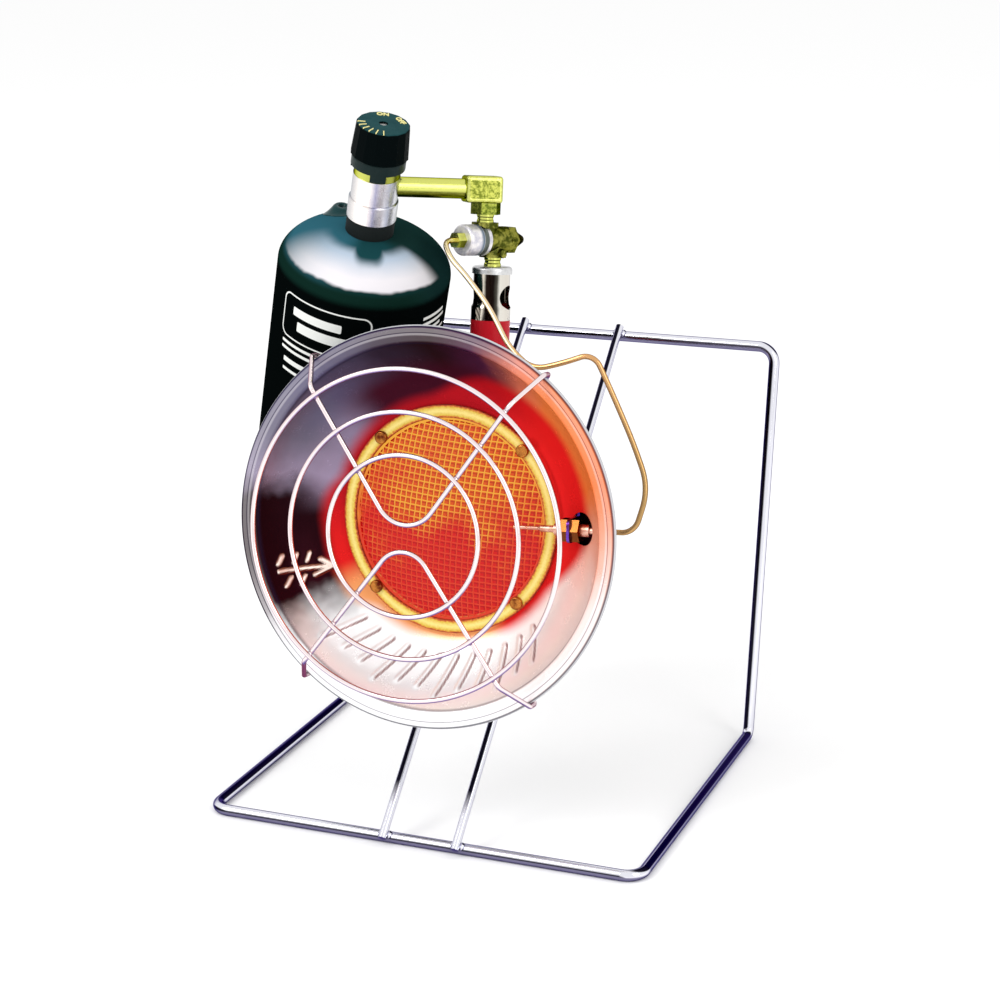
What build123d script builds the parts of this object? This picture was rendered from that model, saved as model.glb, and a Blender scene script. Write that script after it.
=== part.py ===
"""Portable propane heater: a reflector burner on a bent wire stand, fed by a hanging gas cylinder.

Millimetres, +Z up, the reflector faces -Y. The origin is on the floor, at the middle of the stand's
base. The head (reflector, burner, mixing tube, valve) is built in frames that hang on one another:
FACE sits on the reflector's rim, NECK runs up the mixing tube, VALVE turns with the safety valve,
ARM runs to the regulator and TANK runs up the regulator's and the cylinder's common axis.
"""
import os
from math import atan2, cos, hypot, pi, radians, sin, sqrt, tan

from build123d import *

os.makedirs("parts", exist_ok=True)

# ---- Wire stand ----
frame_wire = 6.35  # diameter of the outline's wire
base_width = 260.0  # between wire centres
base_depth = 207.0
back_height = 238.0  # along the leaning back
back_lean = 11.2  # degrees behind upright
corner_bend = 10.0  # centreline radii of the wire's bends
heel_bend = 6.0
strut_wire = 4.76
strut_gap_front = 44.0  # between the two struts, below and above their jogs
strut_gap_back = 62.5
strut_shift = 3.0  # both front ends sit this far right of the middle
strut_overhang = 3.5  # past the wires that they are welded on
strut_bend = 14.0
jog_start = 172.0  # along the strut
jog_length = 30.0
bracket_sheet = 2.0
bracket_width = 64.0
tab_width = 34.0
foot_start = 134.0  # along the strut
foot_length = 32.0
tab_top = -19.0  # up the face, from its centre
tab_low = -46.0
bracket_bend = 4.0

# ---- Reflector ----
head_height = 180.7  # rim centre above the floor
head_reach = 86.5  # rim centre in front of the base's middle
head_tilt = 8.6  # degrees the face looks up
rim_radius = 110.3
sheet = 0.8
curl_radius = 2.0
brim_width = 6.6
brim_rise = 1.4
step_width = 1.8
step_rise = 5.4
bowl_curve = 62.0
burner_depth = 40.0  # of the bowl's flat floor behind the rim
floor_radius = 66.0
burner_hole = 55.0

# ---- Burner ----
screw_circle = 60.0
screen_sheet = 0.6
screen_radius = 56.2
screen_rim = 63.6
outer_dome = 12.0
inner_screen_radius = 53.6
inner_dome = 10.5
ring_inner = 56.9
ring_outer = 64.2
ring_height = 1.6
gasket_height = 1.0
plenum_flange = 65.4
plenum_mouth = 55.4
plenum_floor = 51.0
plenum_depth = 66.0  # of its back wall behind the rim
plenum_lip = 1.5  # bends of the plenum's lip and back
plenum_bend = 5.0
diffuser_depth = 56.0
diffuser_hole = 5.0
screw_shank = 2.0  # radii of the number eight screws
screw_head = 3.7
screw_head_height = 2.2
screw_length = 9.0
hole_play = 0.2
fit_gap = 0.05  # radial, where a part slips into another
seat_gap = 0.02  # between faces that only touch

# ---- Wire guard ----
guard_wire = 2.7
guard_reach = 25.0  # plane of the rings in front of the rim
guard_outer = 89.3  # radii of the three rings
guard_middle = 66.5
guard_inner = 43.6
fork_names = ("guard_fork_upper", "guard_fork_lower")
fork_roots = (-7.7, 2.0)  # where each fork's straight legs would meet
fork_tips = (18.0, 16.0)  # bend radius of each rounded tip
fork_hook = (67.0, 88.5)  # where a leg crosses the rim, right and up
fork_kink = 17.0  # inside the rim, where a leg leaves the plane of the rings
hook_play = 0.4
hook_return = 3.0

# ---- Mixing tube ----
tube_depth = 87.5  # axis behind the rim
tube_radius = 11.3
tube_wall = 0.9
tube_turn = 17.0  # bend into the plenum
tube_top = 108.0  # height of the tube's shoulder up the neck
spigot_radius = 10.25
spigot_length = 6.0
collar_top = 134.0
collar_radius = 10.45
collar_wall = 0.8
flare_length = 7.0
flare_radius = 11.25
air_height = 121.0
air_hole = 6.8  # radius
cap_height = 4.2
cap_edge = 11.5
cap_spigot = 3.0
jet_radius = 3.4
jet_length = 11.0
jet_bore = 0.6
gas_bore = 1.5

# ---- Safety valve ----
valve_turn = 24.4  # degrees the magnet points left of straight ahead
port_shift = 6.8  # inlet ahead of the outlet
valve_low = 143.2
valve_high = 162.8
nipple_radius = 4.8
body_barrel = 7.6
boss_flats = 15.0
boss_height = 3.0
waist_radius = 6.6
chamber_radius = 5.0
bonnet_start = 7.6
bonnet_length = 5.4
bonnet_floor = 0.8
bonnet_flats = 14.5
magnet_start = 8.5
magnet_end = 24.3
magnet_radius = 8.8
magnet_groove = 0.8
magnet_wall = 1.4
coil_radius = 6.0
coil_length = 8.0
armature_radius = 4.4
armature_sheet = 1.0
nut_flats = 8.0
nut_length = 5.5
button_radius = 6.1
button_foot = 1.0
button_length = 9.5
button_nose = 2.0
button_travel = 4.0
button_stem = 1.5
running_gap = 0.3
plug_flats = 4.6
plug_drop = 7.2  # below the valve's middle
plug_reach = 9.0
plug_seat = 6.9
elbow_height = 181.2
elbow_block = 15.0
elbow_flats = 15.0
elbow_front = 13.0  # from the neck towards the regulator
elbow_back = 8.0
elbow_hex = 6.4

# ---- Arm and regulator ----
arm_turn = 37.1  # degrees the arm swings forward
arm_length = 63.6  # neck axis to regulator axis
arm_radius = 5.65
arm_wall = 1.4
arm_socket = 4.0  # into the elbow
tank_swing = 26.07  # degrees the regulator turns about the arm
core_radius = 12.3
band_radius = 12.9
core_top = 13.3
core_low = -6.6
arm_seat = 8.0  # the arm's end stops short of the regulator's axis
sleeve_radius = 13.15
sleeve_top = 7.9
sleeve_seam = -6.9
socket_radius = 14.0
socket_low = -18.4
socket_wall = 1.0
socket_roof = 1.2
pin_radius = 1.4
pin_low = -12.6
clip_radius = 15.2
clip_top = 19.6
clip_fingers = 3
finger_angle = 34.0
finger_low = 9.2
clip_edge = 1.2
clip_turn = 20.0
knob_low = 20.0
knob_top = 38.5
knob_foot = 16.2
knob_taper = 4.0
knob_facets = 16
knob_wall = 2.0
knob_recess = 2.6
knob_edge = 1.4
knob_turn = 270.0
spindle_radius = 3.0
spindle_low = 5.0
spindle_top = 34.0
hub_radius = 5.4
hub_low = 23.0
recess_depth = 2.0
knob_screw_shank = 1.3
knob_screw_length = 9.0

# ---- Gas cylinder ----
tank_radius = 49.2
tank_shoulder = -51.0
tank_dome = 24.0
tank_length = 146.0  # of the straight wall
tank_bottom_dome = 14.0
tank_wall = 1.0
neck_radius = 12.7
neck_top = -8.7
neck_low = -33.0
neck_bore = 8.0
neck_floor = -17.0
seal_radius = 13.6
seal_top = -18.7
inlet_radius = 3.0
inlet_top = -13.2
relief_radius = 4.2
relief_port = 2.2
relief_circle = 30.0
relief_turn = 111.0
relief_height = 4.0
foot_radius = 40.0
foot_wall = 1.2
foot_height = 9.0

# ---- Thermocouple ----
probe_angle = 3.0  # degrees above the face's horizontal
probe_depth = 25.0  # axis behind the rim
probe_tip = 43.0  # distances from the face's centre
probe_body = 58.0
probe_thread = 68.0
thread_end = 88.0
probe_end = 97.0
needle_radius = 1.1
probe_radius = 2.0
thread_radius = 3.4
probe_nut_flats = 12.0
probe_nut_length = 4.5
probe_hole = 9.0
probe_hole_circle = 82.0
plate_start = 77.0
plate_sheet = 1.5
plate_width = 24.0
plate_tongue = 13.0
plate_front = 7.5  # from the probe's axis to the tongue's edge
plate_back = 14.5
lead_radius = 1.5
lead_leave = 8.0  # straight out of the union nut
lead_arrive = 16.0  # straight into the probe's tail
lead_route = (  # right, up and behind the rim's centre; from the valve to the probe
    (-8.5, 144.0, 46.5),
    (1.5, 136.5, 43.0),
    (19.0, 120.0, 38.0),
    (35.0, 99.0, 30.0),
    (50.5, 88.5, 26.0),
    (68.0, 93.5, 27.0),
    (84.0, 100.0, 28.5),
    (95.0, 79.0, 30.0),
    (108.0, 53.0, 31.0),
    (118.0, 30.0, 30.0),
)


# ---- Frames ----
def turned(frame, x=0, y=0, z=0, rx=0, ry=0, rz=0):
    """A frame moved and then turned inside another one."""
    return frame * Location((x, y, z), (rx, ry, rz))


def section(frame):
    """Sketch plane through a frame's own Z axis: sketch X is the radius, sketch Y the height."""
    return Plane(turned(frame, rx=90))


def level(frame, height=0):
    """Sketch plane across a frame's Z axis."""
    return Plane(turned(frame, z=height))


def axis_of(frame):
    return Axis(frame.position, Plane(frame).z_dir)


FACE = Plane(
    origin=(0, -head_reach, head_height),
    x_dir=(1, 0, 0),
    z_dir=(0, -cos(radians(head_tilt)), sin(radians(head_tilt))),
).location
NECK = turned(FACE, z=-tube_depth, rx=-90)
VALVE = turned(NECK, z=(valve_low + valve_high) / 2, rz=-valve_turn)
INLET = turned(VALVE, y=-port_shift)
ELBOW = turned(INLET, z=elbow_height - (valve_low + valve_high) / 2, rz=valve_turn + arm_turn)
TANK = turned(ELBOW, x=-arm_length, rx=tank_swing)
MAGNET = turned(VALVE, rx=90)  # Z runs forward along the magnet and the button
PROBE = turned(turned(FACE, z=-probe_depth, rz=probe_angle), ry=90)  # Z runs outward along the probe

written = []


def save(builder, name):
    builder.part.label = name
    export_step(builder.part, f"parts/{name}.step")
    written.append(name)


# ---- Stand: one closed wire, bent into a base and a leaning back ----
back_rise = back_height * cos(radians(back_lean))
back_set = back_height * sin(radians(back_lean))
front_y = -base_depth / 2
wire_z = frame_wire / 2
top_y = base_depth / 2 + back_set
top_z = wire_z + back_rise

with BuildPart() as base_frame:
    with BuildLine() as outline:
        FilletPolyline(
            (0, front_y, wire_z),
            (base_width / 2, front_y, wire_z),
            (base_width / 2, base_depth / 2, wire_z),
            (base_width / 2, top_y, top_z),
            (0, top_y, top_z),
            radius=[corner_bend, heel_bend, corner_bend],
        )
    with BuildSketch(Plane(origin=outline.line @ 0, z_dir=outline.line % 0)):
        Circle(frame_wire / 2)
    sweep()
    mirror(about=Plane.YZ)
save(base_frame, "base_frame")

# The struts lie on the upper side of the front wire and of the top wire.
run = Vector(0, top_y - front_y, top_z - wire_z)
strut_length = run.length
strut_up = Vector(0, -run.Z, run.Y).normalized()
weld_offset = strut_up * ((frame_wire + strut_wire) / 2)
STRUTS = Plane(origin=Vector(0, front_y, wire_z) + weld_offset, x_dir=(1, 0, 0), z_dir=strut_up)

for side, strut_name in ((-1, "strut_left"), (1, "strut_right")):
    low_x = side * strut_gap_front / 2 + strut_shift
    high_x = side * strut_gap_back / 2
    with BuildPart() as strut:
        with BuildLine(STRUTS) as strut_line:
            FilletPolyline(
                (low_x, -strut_overhang),
                (low_x, jog_start),
                (high_x, jog_start + jog_length),
                (high_x, strut_length + strut_overhang),
                radius=strut_bend,
            )
        with BuildSketch(Plane(origin=strut_line.line @ 0, z_dir=strut_line.line % 0)):
            Circle(strut_wire / 2)
        sweep()
    save(strut, strut_name)

# ---- Bracket: a folded strap, welded on the struts and screwed to the plenum's back ----
plenum_back = plenum_depth + sheet / 2
tab_depth = plenum_back + seat_gap + bracket_sheet / 2
foot_lift = strut_wire / 2 + seat_gap + bracket_sheet / 2
foot_front = STRUTS.from_local_coords((0, foot_start, foot_lift))
foot_back = STRUTS.from_local_coords((0, foot_start + foot_length, foot_lift))
tab_foot = Plane(FACE).from_local_coords((0, tab_low, -tab_depth))
tab_head = Plane(FACE).from_local_coords((0, tab_top, -tab_depth))
screw_row = (tab_low + tab_top) / 2 + 3
screw_pitch = tab_width - 14

with BuildPart() as head_bracket:
    with BuildSketch(Plane.YZ):
        with BuildLine():
            FilletPolyline(
                *[(p.Y, p.Z) for p in (foot_back, foot_front, tab_foot, tab_head)],
                radius=bracket_bend,
            )
        trace(line_width=bracket_sheet)
    extrude(amount=bracket_width / 2, both=True)
    with BuildSketch(level(FACE, -tab_depth)):
        for side in (-1, 1):
            with BuildLine():
                Polyline(
                    (side * bracket_width, tab_low - 4),
                    (side * bracket_width / 2, tab_low - 4),
                    (side * tab_width / 2, tab_low + 9),
                    (side * tab_width / 2, tab_top + 9),
                    (side * bracket_width, tab_top + 9),
                    close=True,
                )
            make_face()
        with Locations((0, screw_row)):
            with GridLocations(screw_pitch, 0, 2, 1):
                Circle(screw_shank + hole_play)
    extrude(amount=foot_length * 0.75, both=True, mode=Mode.SUBTRACT)
    tab_corners = head_bracket.edges().filter_by(axis_of(FACE)).group_by(Axis.Z)[-1]
    fillet(tab_corners, tab_width / 8)
save(head_bracket, "head_bracket")

# ---- Reflector: a pressed bowl with a stepped brim and a curled bead ----
brim_end = rim_radius - curl_radius - sheet / 2
brim_start = brim_end - brim_width
bowl_end = (brim_start - step_width, -sheet / 2 - brim_rise - step_rise)
bowl_start = (floor_radius, -burner_depth)
chord_x = bowl_end[0] - bowl_start[0]
chord_y = bowl_end[1] - bowl_start[1]
chord_share = sqrt((bowl_curve / hypot(chord_x, chord_y)) ** 2 - 1 / 4)
bowl_centre_x = bowl_start[0] + chord_x / 2 - chord_y * chord_share
bowl_centre_y = bowl_start[1] + chord_y / 2 + chord_x * chord_share


def behind_bowl(radius):
    """Height of the bowl's outer surface at a distance from the face's axis."""
    return bowl_centre_y - sqrt((bowl_curve + sheet / 2) ** 2 - (radius - bowl_centre_x) ** 2)


with BuildPart() as reflector_dish:
    with BuildSketch(section(FACE)):
        with BuildLine():
            Line((burner_hole, -burner_depth), bowl_start)
            RadiusArc(bowl_start, bowl_end, -bowl_curve)
            Line(bowl_end, (brim_start, -sheet / 2 - brim_rise))
            brim = Line((brim_start, -sheet / 2 - brim_rise), (brim_end, -sheet / 2))
            JernArc(brim @ 1, brim % 1, curl_radius, -290)
        trace(line_width=sheet)
    revolve(axis=axis_of(FACE))
    with BuildSketch(level(FACE, -burner_depth)):
        with PolarLocations(screw_circle, 4, 45):
            Circle(screw_shank + hole_play)
    extrude(amount=sheet, both=True, mode=Mode.SUBTRACT)
    with BuildSketch(level(turned(FACE, rz=probe_angle), -burner_depth)):
        with Locations((probe_hole_circle, 0)):
            Circle(probe_hole)
    extrude(amount=burner_depth, mode=Mode.SUBTRACT)
save(reflector_dish, "reflector_dish")

# ---- Burner: screens, ring, gasket and plenum clamped to the bowl's floor ----
flange_front = -burner_depth + sheet / 2
flange_back = -burner_depth - sheet / 2
outer_rim = flange_front + seat_gap + screen_sheet / 2
ring_back = outer_rim + screen_sheet / 2 + seat_gap
ring_front = ring_back + ring_height
inner_rim = flange_back - seat_gap - screen_sheet / 2
gasket_front = inner_rim - screen_sheet / 2 - seat_gap
gasket_back = gasket_front - gasket_height
plenum_rim = gasket_back - seat_gap - sheet / 2

for screen_name, rim_height, dome_radius, dome in (
    ("outer_screen", outer_rim, screen_radius, outer_dome),
    ("inner_screen", inner_rim, inner_screen_radius, inner_dome),
):
    crown = (dome_radius**2 + dome**2) / (2 * dome)
    with BuildPart() as screen:
        with BuildSketch(section(FACE)):
            with BuildLine():
                Polyline(
                    (dome_radius, rim_height + screen_sheet / 2),
                    (screen_rim, rim_height + screen_sheet / 2),
                    (screen_rim, rim_height - screen_sheet / 2),
                    (dome_radius, rim_height - screen_sheet / 2),
                )
                RadiusArc(
                    (dome_radius, rim_height - screen_sheet / 2),
                    (0, rim_height + dome - screen_sheet / 2),
                    -crown,
                )
                Line((0, rim_height + dome - screen_sheet / 2), (0, rim_height + dome + screen_sheet / 2))
                RadiusArc(
                    (0, rim_height + dome + screen_sheet / 2),
                    (dome_radius, rim_height + screen_sheet / 2),
                    crown,
                )
            make_face()
        revolve(axis=axis_of(FACE))
        with BuildSketch(level(FACE, rim_height)):
            with PolarLocations(screw_circle, 4, 45):
                Circle(screw_shank + hole_play)
        extrude(amount=screen_sheet, both=True, mode=Mode.SUBTRACT)
    save(screen, screen_name)

with BuildPart() as screen_ring:
    with BuildSketch(section(FACE)) as ring_section:
        with Locations(((ring_inner + ring_outer) / 2, ring_back + ring_height / 2)):
            Rectangle(ring_outer - ring_inner, ring_height)
        fillet(ring_section.vertices().group_by(Axis.Y)[-1], ring_height * 0.4)
    revolve(axis=axis_of(FACE))
    with BuildSketch(level(FACE, ring_back)):
        with PolarLocations(screw_circle, 4, 45):
            Circle(screw_shank + hole_play)
    extrude(amount=ring_height, mode=Mode.SUBTRACT)
save(screen_ring, "screen_ring")

with BuildPart() as burner_gasket:
    with BuildSketch(level(FACE, gasket_back)):
        Circle(screen_rim)
        Circle(screw_circle - screw_shank - screen_sheet * 2, mode=Mode.SUBTRACT)
        with PolarLocations(screw_circle, 4, 45):
            Circle(screw_shank + hole_play, mode=Mode.SUBTRACT)
    extrude(amount=gasket_height)
save(burner_gasket, "burner_gasket")

with BuildPart() as burner_housing:
    with BuildSketch(section(FACE)):
        with BuildLine():
            FilletPolyline(
                (plenum_flange, plenum_rim),
                (plenum_mouth, plenum_rim),
                (plenum_floor, -plenum_depth),
                (tube_radius / 2, -plenum_depth),
                radius=[plenum_lip, plenum_bend],
            )
        trace(line_width=sheet)
    revolve(axis=axis_of(FACE))
    with BuildSketch(level(FACE, plenum_rim)):
        with PolarLocations(screw_circle, 4, 45):
            Circle(screw_shank + fit_gap)
    extrude(amount=sheet, both=True, mode=Mode.SUBTRACT)
    with BuildSketch(level(FACE, -plenum_depth)):
        Circle(tube_radius + fit_gap)
        with Locations((0, screw_row)):
            with GridLocations(screw_pitch, 0, 2, 1):
                Circle(screw_shank + fit_gap)
    extrude(amount=sheet, both=True, mode=Mode.SUBTRACT)
save(burner_housing, "burner_housing")

wall_share = (diffuser_depth + plenum_rim) / (plenum_depth + plenum_rim)
diffuser_radius = plenum_mouth - (plenum_mouth - plenum_floor) * wall_share - sheet / 2 - 2 * fit_gap
with BuildPart() as diffuser_plate:
    with BuildSketch(level(FACE, -diffuser_depth)):
        Circle(diffuser_radius - sheet / 4)
        for ring_share, holes in ((0.42, 8), (0.74, 16)):
            with PolarLocations(diffuser_radius * ring_share, holes):
                Circle(diffuser_hole, mode=Mode.SUBTRACT)
    extrude(amount=sheet)
save(diffuser_plate, "diffuser_plate")


with BuildPart() as ring_screws:
    with BuildSketch(level(FACE, ring_front - screw_length)):
        with PolarLocations(screw_circle, 4, 45):
            Circle(screw_shank)
    extrude(amount=screw_length + seat_gap * 2)
    with BuildSketch(level(FACE, ring_front + seat_gap)):
        with PolarLocations(screw_circle, 4, 45):
            Circle(screw_head)
    extrude(amount=screw_head_height)
    fillet(ring_screws.edges().filter_by(GeomType.CIRCLE).group_by(axis_of(FACE))[-1], screw_head_height / 2)
save(ring_screws, "ring_screws")

tab_back = -tab_depth - bracket_sheet / 2 - seat_gap
with BuildPart() as bracket_screws:
    with BuildSketch(level(FACE, tab_back)):
        with Locations((0, screw_row)):
            with GridLocations(screw_pitch, 0, 2, 1):
                Circle(screw_shank)
    extrude(amount=screw_length * 2 / 3)
    with BuildSketch(level(FACE, tab_back)):
        with Locations((0, screw_row)):
            with GridLocations(screw_pitch, 0, 2, 1):
                Circle(screw_head)
    extrude(amount=-screw_head_height)
    head_rims = bracket_screws.edges().filter_by(GeomType.CIRCLE).group_by(axis_of(FACE))[0]
    fillet(head_rims, screw_head_height / 2)
save(bracket_screws, "bracket_screws")

# ---- Wire guard: two forks hooked over the rim carry three rings ----
hook_radius = rim_radius + guard_wire / 2 + hook_play
hook_low = -2 * curl_radius - sheet - guard_wire / 2 - hook_play
fork_reach = guard_reach - guard_wire - seat_gap

for fork_name, rise, root, tip in zip(fork_names, (1, -1), fork_roots, fork_tips):
    spread = atan2(fork_hook[0], rise * (rise * fork_hook[1] - root))

    def fork_point(side, along, height):
        return (side * sin(spread) * along, root + rise * cos(spread) * along, height)

    crossing = -rise * root * cos(spread) + sqrt(hook_radius**2 - (root * sin(spread)) ** 2)
    leg = (
        (crossing - hook_return - guard_wire, hook_low),
        (crossing, hook_low),
        (crossing, guard_wire / 2),
        (crossing - fork_kink, fork_reach),
    )
    with BuildPart() as fork:
        with BuildLine(Plane(FACE)) as fork_line:
            FilletPolyline(
                *[fork_point(-1, along, height) for along, height in leg],
                (0, root, fork_reach),
                *[fork_point(1, along, height) for along, height in reversed(leg)],
                radius=[guard_wire, guard_wire, 2 * guard_wire, tip, 2 * guard_wire, guard_wire, guard_wire],
            )
        with BuildSketch(Plane(origin=fork_line.line @ 0, z_dir=fork_line.line % 0)):
            Circle(guard_wire / 2)
        sweep()
    save(fork, fork_name)

for ring_name, ring_radius in (
    ("guard_ring_outer", guard_outer),
    ("guard_ring_middle", guard_middle),
    ("guard_ring_inner", guard_inner),
):
    with BuildPart() as guard_ring:
        with BuildSketch(section(FACE)):
            with Locations((ring_radius, guard_reach)):
                Circle(guard_wire / 2)
        revolve(axis=axis_of(FACE))
    save(guard_ring, ring_name)

# ---- Mixing tube with its air collar, cap and jet ----
with BuildPart() as mixing_tube:
    with BuildLine(Plane(turned(NECK, rx=90, ry=90))) as tube_line:
        FilletPolyline(
            (plenum_depth - sheet * 2 - tube_depth, 0),
            (0, 0),
            (0, tube_top),
            radius=tube_turn,
        )
    with BuildSketch(Plane(origin=tube_line.line @ 0, z_dir=tube_line.line % 0)):
        Circle(tube_radius)
        Circle(tube_radius - tube_wall, mode=Mode.SUBTRACT)
    sweep()
    with BuildSketch(section(NECK)):
        with BuildLine():
            Polyline(
                (spigot_radius - tube_wall, tube_top - tube_wall),
                (tube_radius - tube_wall / 2, tube_top - tube_wall),
                (tube_radius, tube_top),
                (spigot_radius, tube_top),
                (spigot_radius, tube_top + spigot_length),
                (spigot_radius - tube_wall, tube_top + spigot_length),
                close=True,
            )
        make_face()
    revolve(axis=axis_of(NECK))
save(mixing_tube, "mixing_tube")

with BuildPart() as air_collar:
    with BuildSketch(section(NECK)):
        with BuildLine():
            Polyline(
                (flare_radius - collar_wall / 2, tube_top + seat_gap),
                (flare_radius - collar_wall / 2, tube_top + flare_length),
                (collar_radius - collar_wall / 2, tube_top + flare_length + collar_wall * 2),
                (collar_radius - collar_wall / 2, collar_top),
            )
        trace(line_width=collar_wall)
        with Locations((flare_radius / 2, tube_top + seat_gap)):
            Rectangle(flare_radius * 2, collar_wall, align=(Align.CENTER, Align.MAX), mode=Mode.SUBTRACT)
        with Locations((flare_radius / 2, collar_top)):
            Rectangle(flare_radius * 2, collar_wall, align=(Align.CENTER, Align.MIN), mode=Mode.SUBTRACT)
    revolve(axis=axis_of(NECK))
    with BuildSketch(level(turned(NECK, z=air_height, ry=90))):
        Circle(air_hole)
    extrude(amount=2 * collar_radius, both=True, mode=Mode.SUBTRACT)
save(air_collar, "air_collar")

cap_low = collar_top + seat_gap
cap_top = cap_low + cap_height
with BuildPart() as tube_cap:
    with BuildSketch(section(NECK)) as cap_section:
        with BuildLine():
            Polyline(
                (jet_radius + fit_gap, cap_low - cap_spigot),
                (collar_radius - collar_wall - fit_gap, cap_low - cap_spigot),
                (collar_radius - collar_wall - fit_gap, cap_low),
                (cap_edge, cap_low),
                (cap_edge, cap_top),
                (jet_radius + fit_gap, cap_top),
                close=True,
            )
        make_face()
        fillet(cap_section.vertices().group_by(Axis.X)[-1].sort_by(Axis.Y)[-1], cap_height * 0.45)
    revolve(axis=axis_of(NECK))
save(tube_cap, "tube_cap")

with BuildPart() as gas_jet:
    with BuildSketch(section(NECK)):
        with BuildLine():
            Polyline(
                (jet_bore, cap_top - jet_length),
                (jet_radius / 2, cap_top - jet_length),
                (jet_radius, cap_top - jet_length + jet_radius),
                (jet_radius, cap_top),
                (gas_bore, cap_top),
                (gas_bore, cap_top - jet_length + jet_radius),
                (jet_bore, cap_top - jet_length + jet_radius - gas_bore),
                close=True,
            )
        make_face()
    revolve(axis=axis_of(NECK))
save(gas_jet, "gas_jet")


def grooved(low, high):
    """Half section of a pipe nipple: a tube with a narrow waist between its threads."""
    band = (high - low) / 4
    Polyline(
        (gas_bore, low),
        (nipple_radius, low),
        (nipple_radius, low + band),
        (nipple_radius - band / 3, (low + high) / 2 - band / 2),
        (nipple_radius - band / 3, (low + high) / 2 + band / 2),
        (nipple_radius, high - band),
        (nipple_radius, high),
        (gas_bore, high),
        close=True,
    )


with BuildPart() as lower_nipple:
    with BuildSketch(section(NECK)):
        with BuildLine():
            grooved(cap_top + seat_gap, valve_low - seat_gap)
        make_face()
    revolve(axis=axis_of(NECK))
save(lower_nipple, "lower_nipple")

# ---- Safety valve: a cross-bored body, a magnet can in front and a push button behind ----
valve_half = (valve_high - valve_low) / 2
with BuildPart() as valve_body:
    with BuildSketch(level(VALVE, -valve_half)):
        RegularPolygon(boss_flats / 2, 8, major_radius=False, rotation=22.5)
    extrude(amount=boss_height)
    with BuildSketch(level(VALVE, -valve_half)):
        Circle(waist_radius)
    extrude(amount=valve_half)
    with BuildSketch(level(INLET, valve_half - boss_height)):
        RegularPolygon(boss_flats / 2, 8, major_radius=False, rotation=22.5)
    extrude(amount=boss_height)
    with BuildSketch(level(INLET)):
        Circle(waist_radius)
    extrude(amount=valve_half)
    with BuildSketch(level(MAGNET, -bonnet_start)):
        Circle(body_barrel)
    extrude(amount=bonnet_start + magnet_start)
    with BuildSketch(level(MAGNET, -bonnet_start)):
        Circle(chamber_radius)
    extrude(amount=bonnet_start + magnet_start, mode=Mode.SUBTRACT)
    with BuildSketch(level(MAGNET, magnet_start)):
        Circle(magnet_radius + fit_gap)
    extrude(amount=magnet_end, mode=Mode.SUBTRACT)
    with BuildSketch(level(VALVE, -valve_half)):
        Circle(gas_bore)
    extrude(amount=valve_half, mode=Mode.SUBTRACT)
    with BuildSketch(level(INLET)):
        Circle(gas_bore)
    extrude(amount=valve_half, mode=Mode.SUBTRACT)
    with BuildSketch(level(turned(VALVE, x=plug_seat, z=-plug_drop, ry=90))):
        Circle(plug_flats)
    extrude(amount=boss_flats, mode=Mode.SUBTRACT)
    with BuildSketch(level(turned(VALVE, x=plug_seat, z=-plug_drop, ry=90))):
        Circle(gas_bore + fit_gap)
    extrude(amount=-plug_seat / 2, mode=Mode.SUBTRACT)
save(valve_body, "valve_body")

with BuildPart() as test_plug:
    with BuildSketch(level(turned(VALVE, x=plug_seat + seat_gap, z=-plug_drop, ry=90))):
        RegularPolygon(plug_flats / 2, 6, major_radius=False)
    extrude(amount=plug_reach - plug_seat)
    with BuildSketch(level(turned(VALVE, x=plug_seat + seat_gap, z=-plug_drop, ry=90))):
        Circle(gas_bore)
    extrude(amount=-plug_seat / 3)
save(test_plug, "test_plug")

with BuildPart() as magnet_housing:
    with BuildSketch(section(MAGNET)) as can_section:
        with BuildLine():
            Polyline(
                (chamber_radius + fit_gap, magnet_start + seat_gap),
                (magnet_radius, magnet_start + seat_gap),
                (magnet_radius, magnet_start + 3 * magnet_groove),
                (magnet_radius - magnet_groove, magnet_start + 4 * magnet_groove),
                (magnet_radius - magnet_groove, magnet_start + 6 * magnet_groove),
                (magnet_radius, magnet_start + 7 * magnet_groove),
                (magnet_radius, magnet_end),
                (lead_radius + fit_gap, magnet_end),
                (lead_radius + fit_gap, magnet_end - magnet_wall),
                (magnet_radius - magnet_groove - magnet_wall, magnet_end - magnet_wall),
                (magnet_radius - magnet_groove - magnet_wall, magnet_start + 2 * magnet_groove),
                (chamber_radius + fit_gap, magnet_start + 2 * magnet_groove),
                close=True,
            )
        make_face()
        front_edge = can_section.vertices().group_by(Axis.Y)[-1].sort_by(Axis.X)[-1]
        fillet(front_edge, magnet_wall)
    revolve(axis=axis_of(MAGNET))
save(magnet_housing, "magnet_housing")

coil_end = magnet_end - magnet_wall - seat_gap
with BuildPart() as safety_magnet:
    with BuildSketch(level(MAGNET, coil_end - coil_length)):
        Circle(coil_radius)
        Rectangle(coil_radius * 3, coil_radius / 3, mode=Mode.SUBTRACT)
    extrude(amount=coil_length * 0.7)
    with BuildSketch(level(MAGNET, coil_end - coil_length * 0.3)):
        Circle(coil_radius)
    extrude(amount=coil_length * 0.3)
save(safety_magnet, "safety_magnet")

with BuildPart() as union_nut:
    with BuildSketch(level(MAGNET, magnet_end + seat_gap)):
        RegularPolygon(nut_flats / 2, 6, major_radius=False)
        Circle(lead_radius + fit_gap, mode=Mode.SUBTRACT)
    extrude(amount=nut_length)
save(union_nut, "union_nut")

# The button's foot slides in the bonnet's cup.
cup_floor = -bonnet_start - seat_gap - bonnet_floor
button_base = cup_floor - button_travel - running_gap

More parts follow.
